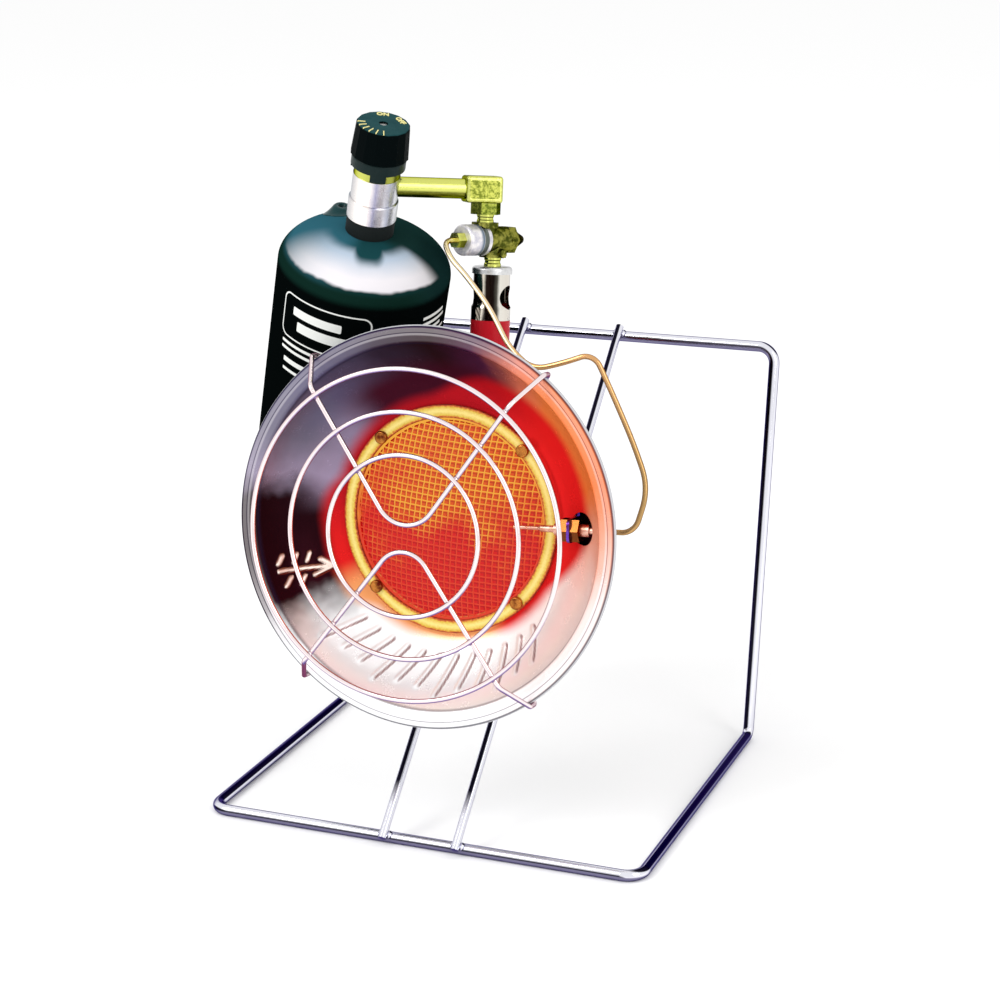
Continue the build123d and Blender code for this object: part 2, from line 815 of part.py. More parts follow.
with BuildPart() as button_bonnet:
    with BuildSketch(level(MAGNET, -bonnet_start - seat_gap)):
        RegularPolygon(bonnet_flats / 2, 6, major_radius=False)
        Circle(button_stem + fit_gap, mode=Mode.SUBTRACT)
    extrude(amount=-bonnet_length)
    with BuildSketch(level(MAGNET, cup_floor)):
        Circle(button_radius + running_gap)
    extrude(amount=-bonnet_length, mode=Mode.SUBTRACT)
save(button_bonnet, "button_bonnet")

with BuildPart() as safety_button:
    with BuildSketch(section(MAGNET)):
        with BuildLine():
            Polyline(
                (0, button_base - button_length),
                (button_nose, button_base - button_length),
                (button_radius, button_base - button_foot),
                (button_radius, button_base),
                (0, button_base),
                close=True,
            )
        make_face()
    revolve(axis=axis_of(MAGNET))
    fillet(safety_button.edges().filter_by(GeomType.CIRCLE).group_by(axis_of(MAGNET))[0], button_nose / 2)
save(safety_button, "safety_button")

magnet_face = coil_end - coil_length
with BuildPart() as valve_armature:
    with BuildSketch(level(MAGNET, button_base + seat_gap)):
        Circle(button_stem)
    extrude(amount=magnet_face - button_travel - running_gap - button_base)
    with BuildSketch(level(MAGNET, magnet_face - button_travel - running_gap)):
        Circle(armature_radius)
    extrude(amount=-armature_sheet)
save(valve_armature, "valve_armature")

# ---- Elbow and supply arm ----
elbow_low = elbow_height - (valve_low + valve_high) / 2 - elbow_block / 2 - elbow_hex
with BuildPart() as upper_nipple:
    with BuildSketch(section(INLET)):
        with BuildLine():
            grooved(valve_half + seat_gap, elbow_low - seat_gap)
        make_face()
    revolve(axis=axis_of(INLET))
save(upper_nipple, "upper_nipple")

with BuildPart() as elbow:
    with BuildSketch(level(ELBOW, -elbow_block / 2)):
        with Locations(((elbow_back - elbow_front) / 2, 0)):
            Rectangle(elbow_front + elbow_back, elbow_block)
    extrude(amount=elbow_block)
    fillet(elbow.edges(), elbow_block / 8)
    with BuildSketch(level(ELBOW, -elbow_block / 2)):
        RegularPolygon(elbow_flats / 2, 6, major_radius=False)
    extrude(amount=-elbow_hex)
    with BuildSketch(level(ELBOW, -elbow_block / 2 - elbow_hex)):
        Circle(gas_bore)
    extrude(amount=elbow_hex + elbow_block / 2, mode=Mode.SUBTRACT)
    with BuildSketch(level(turned(ELBOW, ry=-90))):
        Circle(gas_bore)
    extrude(amount=elbow_front, mode=Mode.SUBTRACT)
    with BuildSketch(level(turned(ELBOW, ry=-90), elbow_front)):
        Circle(arm_radius + fit_gap)
    extrude(amount=-arm_socket, mode=Mode.SUBTRACT)
save(elbow, "elbow")

arm_start = elbow_front - arm_socket + seat_gap
with BuildPart() as supply_arm:
    with BuildSketch(level(turned(ELBOW, ry=-90), arm_start)):
        Circle(arm_radius)
        Circle(arm_radius - arm_wall, mode=Mode.SUBTRACT)
    extrude(amount=arm_length - arm_seat - seat_gap - arm_start)
save(supply_arm, "supply_arm")

# ---- Regulator: brass core, two shells, a clip and the knob on its spindle ----
with BuildPart() as regulator_core:
    with BuildSketch(level(TANK, core_low)):
        Circle(core_radius)
    extrude(amount=core_top - core_low)
    with BuildSketch(level(TANK, sleeve_top + seat_gap)):
        Circle(band_radius)
    extrude(amount=core_top - sleeve_top - seat_gap)
    chamfer(regulator_core.edges().group_by(axis_of(TANK))[-1], band_radius - core_radius)
    with BuildSketch(level(TANK, spindle_low - running_gap)):
        Circle(spindle_radius + fit_gap)
    extrude(amount=core_top - spindle_low + running_gap, mode=Mode.SUBTRACT)
    with BuildSketch(level(turned(TANK, ry=90), arm_seat)):
        Circle(arm_radius + fit_gap)
    extrude(amount=core_radius, mode=Mode.SUBTRACT)
    with BuildSketch(level(turned(TANK, ry=90))):
        Circle(gas_bore)
    extrude(amount=core_radius, mode=Mode.SUBTRACT)
    with BuildSketch(level(TANK, core_low)):
        Circle(pin_radius + fit_gap)
    extrude(amount=2 * pin_radius, mode=Mode.SUBTRACT)
save(regulator_core, "regulator_core")

with BuildPart() as depressor_pin:
    with BuildSketch(level(TANK, pin_low)):
        Circle(pin_radius)
    extrude(amount=core_low + 2 * pin_radius - seat_gap - pin_low)
    chamfer(depressor_pin.edges().group_by(axis_of(TANK))[0], pin_radius / 3)
save(depressor_pin, "depressor_pin")

with BuildPart() as regulator_sleeve:
    with BuildSketch(level(TANK, sleeve_seam + seat_gap)):
        Circle(sleeve_radius)
        Circle(core_radius + fit_gap, mode=Mode.SUBTRACT)
    extrude(amount=sleeve_top - sleeve_seam - seat_gap)
    with BuildSketch(level(turned(TANK, ry=90))):
        Circle(arm_radius + hole_play)
    extrude(amount=2 * sleeve_radius, mode=Mode.SUBTRACT)
save(regulator_sleeve, "regulator_sleeve")

with BuildPart() as tank_socket:
    with BuildSketch(level(TANK, socket_low)):
        Circle(socket_radius)
    extrude(amount=sleeve_seam - socket_low)
    fillet(tank_socket.edges().group_by(axis_of(TANK))[-1], socket_wall * 0.8)
    with BuildSketch(level(TANK, socket_low)):
        Circle(socket_radius - socket_wall)
    extrude(amount=sleeve_seam - socket_roof - socket_low, mode=Mode.SUBTRACT)
    with BuildSketch(level(TANK, sleeve_seam)):
        Circle(pin_radius + hole_play)
    extrude(amount=-2 * socket_roof, mode=Mode.SUBTRACT)
save(tank_socket, "tank_socket")

clip_low = core_top + seat_gap
window_low = radians(finger_angle / 2)
window_high = radians(360 / clip_fingers - finger_angle / 2)
with BuildPart() as knob_clip:
    with BuildSketch(level(TANK, clip_low)):
        Circle(clip_radius)
        Circle(spindle_radius + running_gap, mode=Mode.SUBTRACT)
    extrude(amount=clip_top - clip_low)
    fillet(knob_clip.edges().group_by(axis_of(TANK))[-1].sort_by(SortBy.LENGTH)[-1], clip_edge)
    with BuildSketch(level(TANK, clip_low + clip_edge)):
        Circle(clip_radius)
        Circle(band_radius + fit_gap, mode=Mode.SUBTRACT)
        with PolarLocations(0, clip_fingers, clip_turn):
            Polygon(
                (0, 0),
                (2 * clip_radius * cos(window_low), 2 * clip_radius * sin(window_low)),
                (2 * clip_radius * cos(window_high), 2 * clip_radius * sin(window_high)),
                align=None,
                mode=Mode.SUBTRACT,
            )
    extrude(amount=finger_low - clip_low - clip_edge)
save(knob_clip, "knob_clip")

knob_roof = knob_top - knob_wall - recess_depth
knob_cavity = knob_foot - (knob_top - knob_low) * tan(radians(knob_taper)) - knob_wall
with BuildPart() as regulator_knob:
    with BuildSketch(level(TANK, knob_low)):
        RegularPolygon(knob_foot, knob_facets)
    extrude(amount=knob_top - knob_low, taper=knob_taper)
    fillet(regulator_knob.edges().group_by(axis_of(TANK))[-1], knob_edge)
    with BuildSketch(level(TANK, knob_low)):
        Circle(knob_cavity)
    extrude(amount=knob_roof - knob_low, mode=Mode.SUBTRACT)
    with BuildSketch(level(TANK, hub_low)):
        Circle(hub_radius)
    extrude(amount=knob_roof + knob_wall / 2 - hub_low)
    with BuildSketch(level(TANK, hub_low)):
        Circle(spindle_radius + fit_gap)
    extrude(amount=spindle_top + seat_gap - hub_low, mode=Mode.SUBTRACT)
    with BuildSketch(level(TANK, knob_top)):
        Circle(knob_recess)
    extrude(amount=-recess_depth, mode=Mode.SUBTRACT)
    with BuildSketch(level(TANK, knob_top)):
        Circle(knob_screw_shank + fit_gap)
    extrude(amount=spindle_top - knob_top, mode=Mode.SUBTRACT)
save(regulator_knob, "regulator_knob")

screw_seat = knob_top - recess_depth + seat_gap
with BuildPart() as knob_screw:
    with BuildSketch(level(TANK, screw_seat)):
        Circle(knob_recess - fit_gap)
    extrude(amount=recess_depth / 2)
    with BuildSketch(level(TANK, screw_seat)):
        Circle(knob_screw_shank)
    extrude(amount=-knob_screw_length)
save(knob_screw, "knob_screw")

with BuildPart() as regulator_spindle:
    with BuildSketch(level(TANK, spindle_low)):
        Circle(spindle_radius)
    extrude(amount=spindle_top - spindle_low)
    with BuildSketch(level(TANK, spindle_top)):
        Circle(knob_screw_shank + fit_gap)
    extrude(amount=screw_seat - knob_screw_length - seat_gap - spindle_top, mode=Mode.SUBTRACT)
save(regulator_spindle, "regulator_spindle")


# ---- Gas cylinder ----
def dome_at(radius, wall=0):
    """Height of the cylinder's top dome at a distance from its axis."""
    return tank_shoulder + (tank_dome - wall) * sqrt(1 - (radius / (tank_radius - wall)) ** 2)


def tank_outline(wall):
    """Half section of the cylinder: two flattened domes and a straight side."""
    base = tank_shoulder - tank_length
    top = EllipticalCenterArc((0, tank_shoulder), tank_radius - wall, tank_dome - wall, 0, arc_size=90)
    low = EllipticalCenterArc((0, base), tank_radius - wall, tank_bottom_dome - wall, 270, arc_size=90)
    Line(top @ 0, low @ 1)
    Line(top @ 1, low @ 0)


RELIEF = turned(turned(TANK, rz=relief_turn), x=relief_circle)
with BuildPart() as cylinder_shell:
    with BuildSketch(section(TANK)):
        with BuildLine():
            tank_outline(0)
        make_face()
        with BuildLine():
            tank_outline(tank_wall)
        make_face(mode=Mode.SUBTRACT)
    revolve(axis=axis_of(TANK))
    with BuildSketch(level(TANK, neck_low)):
        Circle(neck_radius + fit_gap)
    extrude(amount=neck_top - neck_low, mode=Mode.SUBTRACT)
    with BuildSketch(level(RELIEF, tank_shoulder)):
        Circle(relief_radius + fit_gap)
    extrude(amount=tank_dome, mode=Mode.SUBTRACT)
save(cylinder_shell, "cylinder_shell")

with BuildPart() as cylinder_neck:
    with BuildSketch(level(TANK, neck_low)):
        Circle(neck_radius)
    extrude(amount=neck_top - neck_low)
    chamfer(cylinder_neck.edges().group_by(axis_of(TANK))[-1], socket_wall)
    with BuildSketch(level(TANK, neck_floor)):
        Circle(neck_bore)
    extrude(amount=neck_top - neck_floor, mode=Mode.SUBTRACT)
    with BuildSketch(level(TANK, neck_low)):
        Circle(inlet_radius + fit_gap)
    extrude(amount=neck_floor - neck_low, mode=Mode.SUBTRACT)
save(cylinder_neck, "cylinder_neck")

with BuildPart() as cylinder_valve_core:
    with BuildSketch(level(TANK, neck_low)):
        Circle(inlet_radius)
    extrude(amount=inlet_top - neck_low)
    chamfer(cylinder_valve_core.edges().group_by(axis_of(TANK))[-1], inlet_radius / 4)
save(cylinder_valve_core, "cylinder_valve_core")

seal_low = dome_at(neck_radius) + fit_gap
with BuildPart() as cylinder_seal:
    with BuildSketch(level(TANK, seal_low)):
        Circle(seal_radius)
        Circle(neck_radius + fit_gap, mode=Mode.SUBTRACT)
    extrude(amount=seal_top - seal_low)
save(cylinder_seal, "cylinder_seal")

relief_top = dome_at(relief_circle) + relief_height
with BuildPart() as relief_valve:
    with BuildSketch(level(RELIEF, dome_at(relief_circle + relief_radius) - relief_height)):
        Circle(relief_radius)
    extrude(amount=relief_top - dome_at(relief_circle + relief_radius) + relief_height)
    fillet(relief_valve.edges().group_by(axis_of(TANK))[-1], (relief_radius - relief_port) / 3)
    with BuildSketch(level(RELIEF, relief_top)):
        Circle(relief_port)
    extrude(amount=-relief_height, mode=Mode.SUBTRACT)
save(relief_valve, "relief_valve")

foot_inner = (foot_radius - foot_wall) / tank_radius
foot_top = tank_shoulder - tank_length - tank_bottom_dome * sqrt(1 - foot_inner**2) - fit_gap
with BuildPart() as foot_ring:
    with BuildSketch(section(TANK)):
        with BuildLine():
            FilletPolyline(
                (foot_radius - foot_wall / 2, foot_top),
                (foot_radius - foot_wall / 2, foot_top - foot_height),
                (foot_radius - 3 * foot_wall, foot_top - foot_height),
                radius=foot_wall,
            )
        trace(line_width=foot_wall)
    revolve(axis=axis_of(TANK))
save(foot_ring, "foot_ring")

# ---- Thermocouple: probe, its nuts and plate, and the lead to the safety valve ----
with BuildPart() as thermocouple_probe:
    with BuildSketch(section(PROBE)):
        with BuildLine():
            Polyline(
                (0, probe_tip),
                (needle_radius, probe_tip + needle_radius),
                (needle_radius, probe_body),
                (probe_radius, probe_body + probe_radius),
                (probe_radius, probe_thread),
                (thread_radius, probe_thread),
                (thread_radius, thread_end),
                (probe_radius, thread_end),
                (probe_radius, probe_end),
                (0, probe_end),
                close=True,
            )
        make_face()
    revolve(axis=axis_of(PROBE))
save(thermocouple_probe, "thermocouple_probe")

plate_end = plate_start + plate_sheet
shoulder = -probe_depth - behind_bowl(plate_start) + fit_gap
with BuildPart() as thermocouple_plate:
    with BuildSketch(level(PROBE, plate_start)) as plate_sketch:
        with Locations((shoulder, 0)):
            Rectangle(plate_back - shoulder, plate_width, align=(Align.MIN, Align.CENTER))
        with Locations((-plate_front, 0)):
            Rectangle(plate_front + plate_back, plate_tongue, align=(Align.MIN, Align.CENTER))
        fillet(plate_sketch.vertices().group_by(Axis.X)[0], plate_tongue / 4)
        Circle(thread_radius + fit_gap, mode=Mode.SUBTRACT)
    extrude(amount=plate_sheet)
save(thermocouple_plate, "thermocouple_plate")

with BuildPart() as thermocouple_nuts:
    for nut_start in (plate_start - seat_gap - probe_nut_length, plate_end + seat_gap):
        with BuildSketch(level(PROBE, nut_start)):
            RegularPolygon(probe_nut_flats / 2, 6, major_radius=False)
            Circle(thread_radius + fit_gap, mode=Mode.SUBTRACT)
        extrude(amount=probe_nut_length)
save(thermocouple_nuts, "thermocouple_nuts")

route = [Plane(MAGNET).from_local_coords((0, 0, magnet_end + seat_gap))]
route.append(Plane(MAGNET).from_local_coords((0, 0, magnet_end + nut_length + lead_leave)))
for right, up, behind in lead_route:
    route.append(Plane(FACE).from_local_coords((right, up, -behind)))
route.append(Plane(PROBE).from_local_coords((0, 0, probe_end + lead_arrive)))
route.append(Plane(PROBE).from_local_coords((0, 0, probe_end + seat_gap)))

lead_radii = []
for before, corner, after in zip(route, route[1:], route[2:]):
    turn = (corner - before).get_angle(after - corner)
    shorter = min((corner - before).length, (after - corner).length)
    lead_radii.append(0.45 * shorter / tan(radians(turn / 2)))

with BuildPart() as thermocouple_lead:
    with BuildLine() as lead_line:
        FilletPolyline(*route, radius=lead_radii)
    with BuildSketch(Plane(origin=lead_line.line @ 0, z_dir=lead_line.line % 0)):
        Circle(lead_radius)
    sweep()
save(thermocouple_lead, "thermocouple_lead")

print(len(written), "nodes")
print("lead radii", [round(radius, 1) for radius in lead_radii])
lead_volume = pi * lead_radius**2 * sum(edge.length for edge in lead_line.edges())
print("lead volume over section x length", round(thermocouple_lead.part.volume / lead_volume, 5))
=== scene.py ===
"""Looks of a portable gas heater: its metals, enamel, glow, woven screen, print and welds.

Metres, +Z up, the reflector faces -Y. Sizes are written in millimetres, in the frames of the
solids, and placed() makes them metres. Surfaces are worked out with numpy on grids of points.
"""

import math
from functools import partial

import bpy
import numpy as np
from mathutils import Matrix, Vector


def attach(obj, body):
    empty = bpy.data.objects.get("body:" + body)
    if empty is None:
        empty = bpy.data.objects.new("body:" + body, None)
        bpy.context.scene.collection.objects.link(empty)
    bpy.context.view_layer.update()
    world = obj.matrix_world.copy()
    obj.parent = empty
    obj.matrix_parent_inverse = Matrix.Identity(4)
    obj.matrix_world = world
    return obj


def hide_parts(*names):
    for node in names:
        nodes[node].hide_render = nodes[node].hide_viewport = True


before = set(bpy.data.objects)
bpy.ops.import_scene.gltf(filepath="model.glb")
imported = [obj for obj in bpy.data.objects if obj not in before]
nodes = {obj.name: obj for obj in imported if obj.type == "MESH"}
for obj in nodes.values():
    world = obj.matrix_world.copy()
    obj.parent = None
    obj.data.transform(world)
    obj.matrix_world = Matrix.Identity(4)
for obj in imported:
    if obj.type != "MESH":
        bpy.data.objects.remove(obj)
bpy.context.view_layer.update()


# ---- Frames, as in the solids ----
def turned(start, x=0, y=0, z=0, rx=0, ry=0, rz=0):
    """The frame start moved by (x, y, z) and turned about its own X, then Y, then Z, in degrees."""
    move = Matrix.Translation((x, y, z))
    angles = (rx, "X"), (ry, "Y"), (rz, "Z")
    turns = [Matrix.Rotation(math.radians(angle), 4, axis) for angle, axis in angles]
    return start @ move @ turns[0] @ turns[1] @ turns[2]


FACE_UP, VALVE_ROUND, ARM_ROUND, TANK_LEAN = 8.6, 24.4, 37.1, 26.07  # degrees
ARM_LENGTH = 63.6

ROW = Matrix.Identity(4)
FACE = turned(ROW, y=-86.5, z=180.7, rx=90 - FACE_UP)  # Z out of the reflector, Y up it
WEAVE = turned(FACE, rz=-4)  # X and Y along the wires of the screens
NECK = turned(FACE, z=-87.5, rx=-90)  # Z up the mixing tube
VALVE = turned(NECK, z=153.0, rz=-VALVE_ROUND)
INLET = turned(VALVE, y=-6.8)
ELBOW = turned(INLET, z=28.2, rz=VALVE_ROUND + ARM_ROUND)
TANK = turned(ELBOW, x=-ARM_LENGTH, rx=TANK_LEAN)  # Z up the regulator and the cylinder
MAGNET = turned(VALVE, rx=90)  # Z along the magnet's can


def placed(where, points):
    """Points in a frame's millimetres, as metres in the row frame: p' = (R p + o) / 1000."""
    m = np.array(where)
    return (np.asarray(points, float) @ m[:3, :3].T + m[:3, 3]) * 0.001


def colour(red, green, blue):
    """A colour given in the 0 to 255 of a paint chart, as linear light."""
    share = np.array([red, green, blue]) / 255
    linear = np.where(share > 0.04045, ((share + 0.055) / 1.055) ** 2.4, share / 12.92)
    return (*[float(c) for c in linear], 1.0)


def shades(*stops):
    """Stops of a ramp, each (place, red, green, blue) with its colour as in colour()."""
    return tuple((place, colour(*shade)) for place, *shade in stops)


def greys(*stops):
    """Stops of a ramp of plain values, each (place, value)."""
    return tuple((place, (level, level, level, 1)) for place, level in stops)


# ---- Camera and lamps ----
CAMERA_PLACE = (0.49603, -1.1725, 0.57147)
CAMERA_AROUND, CAMERA_DOWN, CAMERA_ROLL = 22.4915, 17.4392, -1.0797  # degrees
FOCAL_LENGTH, SENSOR = 83.6, 36.0


def link(name, data):
    """A new object of the scene that holds data."""
    made = bpy.data.objects.new(name, data)
    bpy.context.scene.collection.objects.link(made)
    return made


def set_camera():
    """The camera stands right of the heater and above it, and is rolled a little."""
    data = bpy.data.cameras.new("camera")
    data.sensor_width = SENSOR
    data.lens = FOCAL_LENGTH
    data.clip_end = 20.0
    camera = link("camera", data)
    around, down, roll = (math.radians(a) for a in (CAMERA_AROUND, CAMERA_DOWN, CAMERA_ROLL))
    turn = Matrix.Rotation(around, 4, "Z") @ Matrix.Rotation(math.pi / 2 - down, 4, "X")
    camera.matrix_world = Matrix.Translation(CAMERA_PLACE) @ turn @ Matrix.Rotation(roll, 4, "Z")
    bpy.context.scene.camera = camera


def add_lamp(name, place, target, size, power):
    """A soft lamp of size metres, aimed from its place at the target."""
    data = bpy.data.lights.new(name, "AREA")
    data.shape = "RECTANGLE"
    data.size, data.size_y = size
    data.energy = power
    lamp = link(name, data)
    lamp.location = place
    aim = Vector(target) - Vector(place)
    lamp.rotation_euler = aim.to_track_quat("-Z", "Y").to_euler()


# ---- Node graphs ----
def spaced(key):
    """A socket's name out of a keyword: Base_Color is Base Color."""
    return key.replace("_", " ")


class Graph:
    """A node tree with short ways to add nodes, to feed their sockets and to do sums."""

    def __init__(self, tree):
        self.tree = tree
        self.count = 0
        self.shader = None

    def add(self, kind, props=None, **feeds):
        node = self.tree.nodes.new(kind)
        node.location = (190 * (self.count % 10), -280 * (self.count // 10))
        self.count += 1
        for key, value in (props or {}).items():
            setattr(node, key, value)
        for key, value in feeds.items():
            self.feed(node.inputs[spaced(key)], value)
        return node

    def feed(self, socket, value):
        if isinstance(value, bpy.types.NodeSocket):
            self.tree.links.new(value, socket)
        else:
            socket.default_value = value

    def paint(self, **feeds):
        """Feeds sockets of the finish's shader."""
        for key, value in feeds.items():
            self.feed(self.shader.inputs[spaced(key)], value)

    def sum(self, operation, first, second=0.0, third=0.0):
        node = self.add("ShaderNodeMath", {"operation": operation})
        for socket, value in zip(node.inputs, (first, second, third)):
            self.feed(socket, value)
        return node.outputs[0]

    def times(self, first, second):
        return self.sum("MULTIPLY", first, second)

    def plus(self, first, second):
        return self.sum("ADD", first, second)

    def minus(self, first, second):
        return self.sum("SUBTRACT", first, second)

    def over(self, first, second):
        return self.sum("DIVIDE", first, second)

    def most(self, first, second):
        return self.sum("MAXIMUM", first, second)

    def sized(self, vector, scale):
        node = self.add("ShaderNodeVectorMath", {"operation": "SCALE"})
        self.feed(node.inputs[0], vector)
        self.feed(node.inputs["Scale"], scale)
        return node.outputs[0]

    def map(self, value, low, high, to_low=0.0, to_high=1.0, kind="LINEAR"):
        """value from low to high becomes to_low to to_high, held at its ends."""
        feeds = {"From_Min": low, "From_Max": high, "To_Min": to_low, "To_Max": to_high}
        node = self.add("ShaderNodeMapRange", {"interpolation_type": kind}, Value=value, **feeds)
        return node.outputs["Result"]

    def soft(self, *values):
        """As map, easing in and out."""
        return self.map(*values, kind="SMOOTHSTEP")

    def mix(self, share, first, second):
        """The colour first, turning to the colour second as share goes from 0 to 1."""
        node = self.add("ShaderNodeMix", {"data_type": "RGBA"})
        for number, value in ((0, share), (6, first), (7, second)):
            self.feed(node.inputs[number], value)
        return node.outputs[2]

    def ramp(self, value, stops):
        node = self.add("ShaderNodeValToRGB")
        self.feed(node.inputs[0], value)
        table = node.color_ramp.elements
        while len(table) < len(stops):
            table.new(0.5)
        for element, (place, shade) in zip(table, stops):
            element.position = place
            element.color = shade
        return node.outputs["Color"]

    def noise(self, place, scale, detail=3.0, rough=0.6):
        feeds = {"Scale": scale, "Detail": detail, "Roughness": rough}
        return self.add("ShaderNodeTexNoise", Vector=place, **feeds).outputs["Fac"]

    def local(self, where):
        """Object coordinates in the millimetres of one of the frames: p' = R^T (1000 p - o)."""
        back = where.inverted()
        source = self.add("ShaderNodeTexCoord").outputs["Object"]
        feeds = {"Scale": (1000, 1000, 1000), "Rotation": back.to_euler()}
        feeds["Location"] = back.translation
        return self.add("ShaderNodeMapping", Vector=source, **feeds).outputs[0]

    def turned_normal(self, where):
        """The surface's normal in the directions of one of the frames: n' = R^T n."""
        source = self.add("ShaderNodeTexCoord").outputs["Normal"]
        feeds = {"Vector": source, "Rotation": where.inverted().to_euler()}
        return self.add("ShaderNodeMapping", {"vector_type": "POINT"}, **feeds).outputs[0]

    def facing(self, toward, start, end):
        """1 on what faces the direction toward, 0 on what faces away from it."""
        normal = self.add("ShaderNodeTexCoord").outputs["Normal"]
        feeds = {"Normal": normal, "Toward": toward, "Start": start, "End": end}
        return self.use("facing_toward", **feeds)["Mask"]

    def attribute(self, name):
        return self.add("ShaderNodeAttribute", {"attribute_name": name}).outputs["Fac"]

    def split(self, vector):
        node = self.add("ShaderNodeSeparateXYZ", Vector=vector)
        return node.outputs[0], node.outputs[1], node.outputs[2]

    def radius(self, x, y):
        return self.sum("SQRT", self.plus(self.times(x, x), self.times(y, y)))

    def turn(self, x, y):
        """Share of a whole turn, 0 to 1, counted from X towards Y."""
        return self.sum("FRACT", self.over(self.sum("ARCTAN2", y, x), 2 * math.pi))

    def edge(self, start, end):
        """1 on surfaces seen edge on, 0 on surfaces seen square on."""
        facing = self.add("ShaderNodeLayerWeight", Blend=0.5).outputs["Facing"]
        return self.soft(facing, start, end)

    def lobe(self, x, y, radius, toward, half, fade):
        """1 within half degrees of the direction toward, fading out over fade degrees more."""
        a = math.radians(toward)
        dot = self.plus(self.times(x, math.cos(a)), self.times(y, math.sin(a)))
        outer = math.cos(math.radians(min(half + fade, 180)))
        return self.soft(self.over(dot, radius), outer, math.cos(math.radians(half)))

    def use(self, name, **feeds):
        """The outputs of one of the shared effects."""
        node = self.add("ShaderNodeGroup", {"node_tree": bpy.data.node_groups[name]}, **feeds)
        return node.outputs


def effect(name, takes, gives):
    """A named node group with its inputs and outputs: its graph, its inputs and its outputs."""
    tree = bpy.data.node_groups.new(name, "ShaderNodeTree")
    kinds = {float: "NodeSocketFloat", tuple: "NodeSocketVector"}
    for key, default in takes.items():
        kind = kinds[type(default)]
        socket = tree.interface.new_socket(key, in_out="INPUT", socket_type=kind)
        socket.default_value = default
    for key in gives:
        tree.interface.new_socket(key, in_out="OUTPUT", socket_type="NodeSocketFloat")
    graph = Graph(tree)
    return graph, graph.add("NodeGroupInput").outputs, graph.add("NodeGroupOutput").inputs


def make_effects():
    """The effects that several finishes share."""
    nowhere, drawn_soft = (0.0, 0.0, 0.0), 0.06

    # Wear: clouds and fine scratches, as a roughness between two values and as a height.
    sockets = {"Place": nowhere, "Size": 8.0, "Low": 0.05, "High": 0.2}
    g, takes, gives = effect("wear", sockets, ("Roughness", "Height"))
    spread = g.sized(takes["Place"], g.over(1.0, takes["Size"]))
    scratches, clouds = g.noise(spread, 14.0, 3.0, 0.7), g.noise(spread, 1.0, 5.0)
    both = g.sum("MULTIPLY_ADD", scratches, 0.35, g.times(clouds, 0.65))
    g.feed(gives["Roughness"], g.map(both, 0.35, 0.65, takes["Low"], takes["High"]))
    g.feed(gives["Height"], both)

    # Cast skin: the pitted and blotched skin of a forged or cast fitting.
    sockets = {"Place": nowhere, "Grain": 1.2}
    g, takes, gives = effect("cast_skin", sockets, ("Height", "Blotch"))
    spread = g.sized(takes["Place"], g.over(1.0, takes["Grain"]))
    pits = g.add("ShaderNodeTexVoronoi", Vector=spread, Scale=0.8).outputs["Distance"]
    lumps = g.noise(spread, 1.6, 4.0, 0.65)
    g.feed(gives["Height"], g.sum("MULTIPLY_ADD", lumps, 0.7, g.times(pits, 0.3)))
    g.feed(gives["Blotch"], g.soft(g.noise(spread, 0.3, 4.0, 0.7), 0.40, 0.60))

    # Facing toward: 1 on what faces a direction.
    sockets = {"Normal": nowhere, "Toward": (0.0, 0.0, -1.0), "Start": 0.15, "End": 0.55}
    g, takes, gives = effect("facing_toward", sockets, ("Mask",))
    dot = g.add("ShaderNodeVectorMath", {"operation": "DOT_PRODUCT"})
    g.feed(dot.inputs[0], takes["Normal"])
    g.feed(dot.inputs[1], takes["Toward"])
    g.feed(gives["Mask"], g.soft(dot.outputs["Value"], takes["Start"], takes["End"]))

    # Turned aside: how far a surface of revolution faces round its axis, anticlockwise above 0.
    g, takes, gives = effect("turned_aside", {"Place": nowhere, "Normal": nowhere}, ("Share",))
    x, y, _ = g.split(takes["Place"])
    a, b, _ = g.split(takes["Normal"])
    g.feed(gives["Share"], g.over(g.minus(g.times(x, b), g.times(y, a)), g.radius(x, y)))

    # Drawn lines: fine lines round a frame's Z axis, as a lathe leaves them.
    g, takes, gives = effect("drawn_lines", {"Place": nowhere, "Pitch": 0.5}, ("Height",))
    x, y, z = g.split(takes["Place"])
    across, along = g.over(g.radius(x, y), takes["Pitch"]), g.over(z, takes["Pitch"])
    line = g.add("ShaderNodeCombineXYZ", X=across, Z=along).outputs[0]
    g.feed(gives["Height"], g.noise(line, 1.0, 2.0))

    # Rounded panel: a rounded rectangle, filled and as a line.
    sockets = {"Across": 0.0, "Up": 0.0, "Half Width": 20.0, "Half Height": 10.0}
    sockets.update({"Corner": 4.0, "Line": 0.7})
    g, takes, gives = effect("rounded_panel", sockets, ("Fill", "Outline"))
    past = []
    for place, half in (("Across", "Half Width"), ("Up", "Half Height")):
        inner = g.minus(takes[half], takes["Corner"])
        past.append(g.most(g.minus(g.sum("ABSOLUTE", takes[place]), inner), 0.0))
    depth = g.minus(g.radius(*past), takes["Corner"])
    g.feed(gives["Fill"], g.map(depth, -drawn_soft, drawn_soft, 1.0, 0.0))
    edge = g.minus(g.sum("ABSOLUTE", depth), g.times(takes["Line"], 0.5))
    g.feed(gives["Outline"], g.map(edge, -drawn_soft, drawn_soft, 1.0, 0.0))


def finish_of(name, shade, metallic=0.0, roughness=0.4, **sockets):
    """A material with one Principled shader: the material, and its graph that paints the shader."""
    material = bpy.data.materials.new(name)
    material.use_nodes = True
    g = Graph(material.node_tree)
    g.shader = next(n for n in material.node_tree.nodes if n.type == "BSDF_PRINCIPLED")
    g.paint(Base_Color=shade, Metallic=metallic, Roughness=roughness, **sockets)
    return material, g


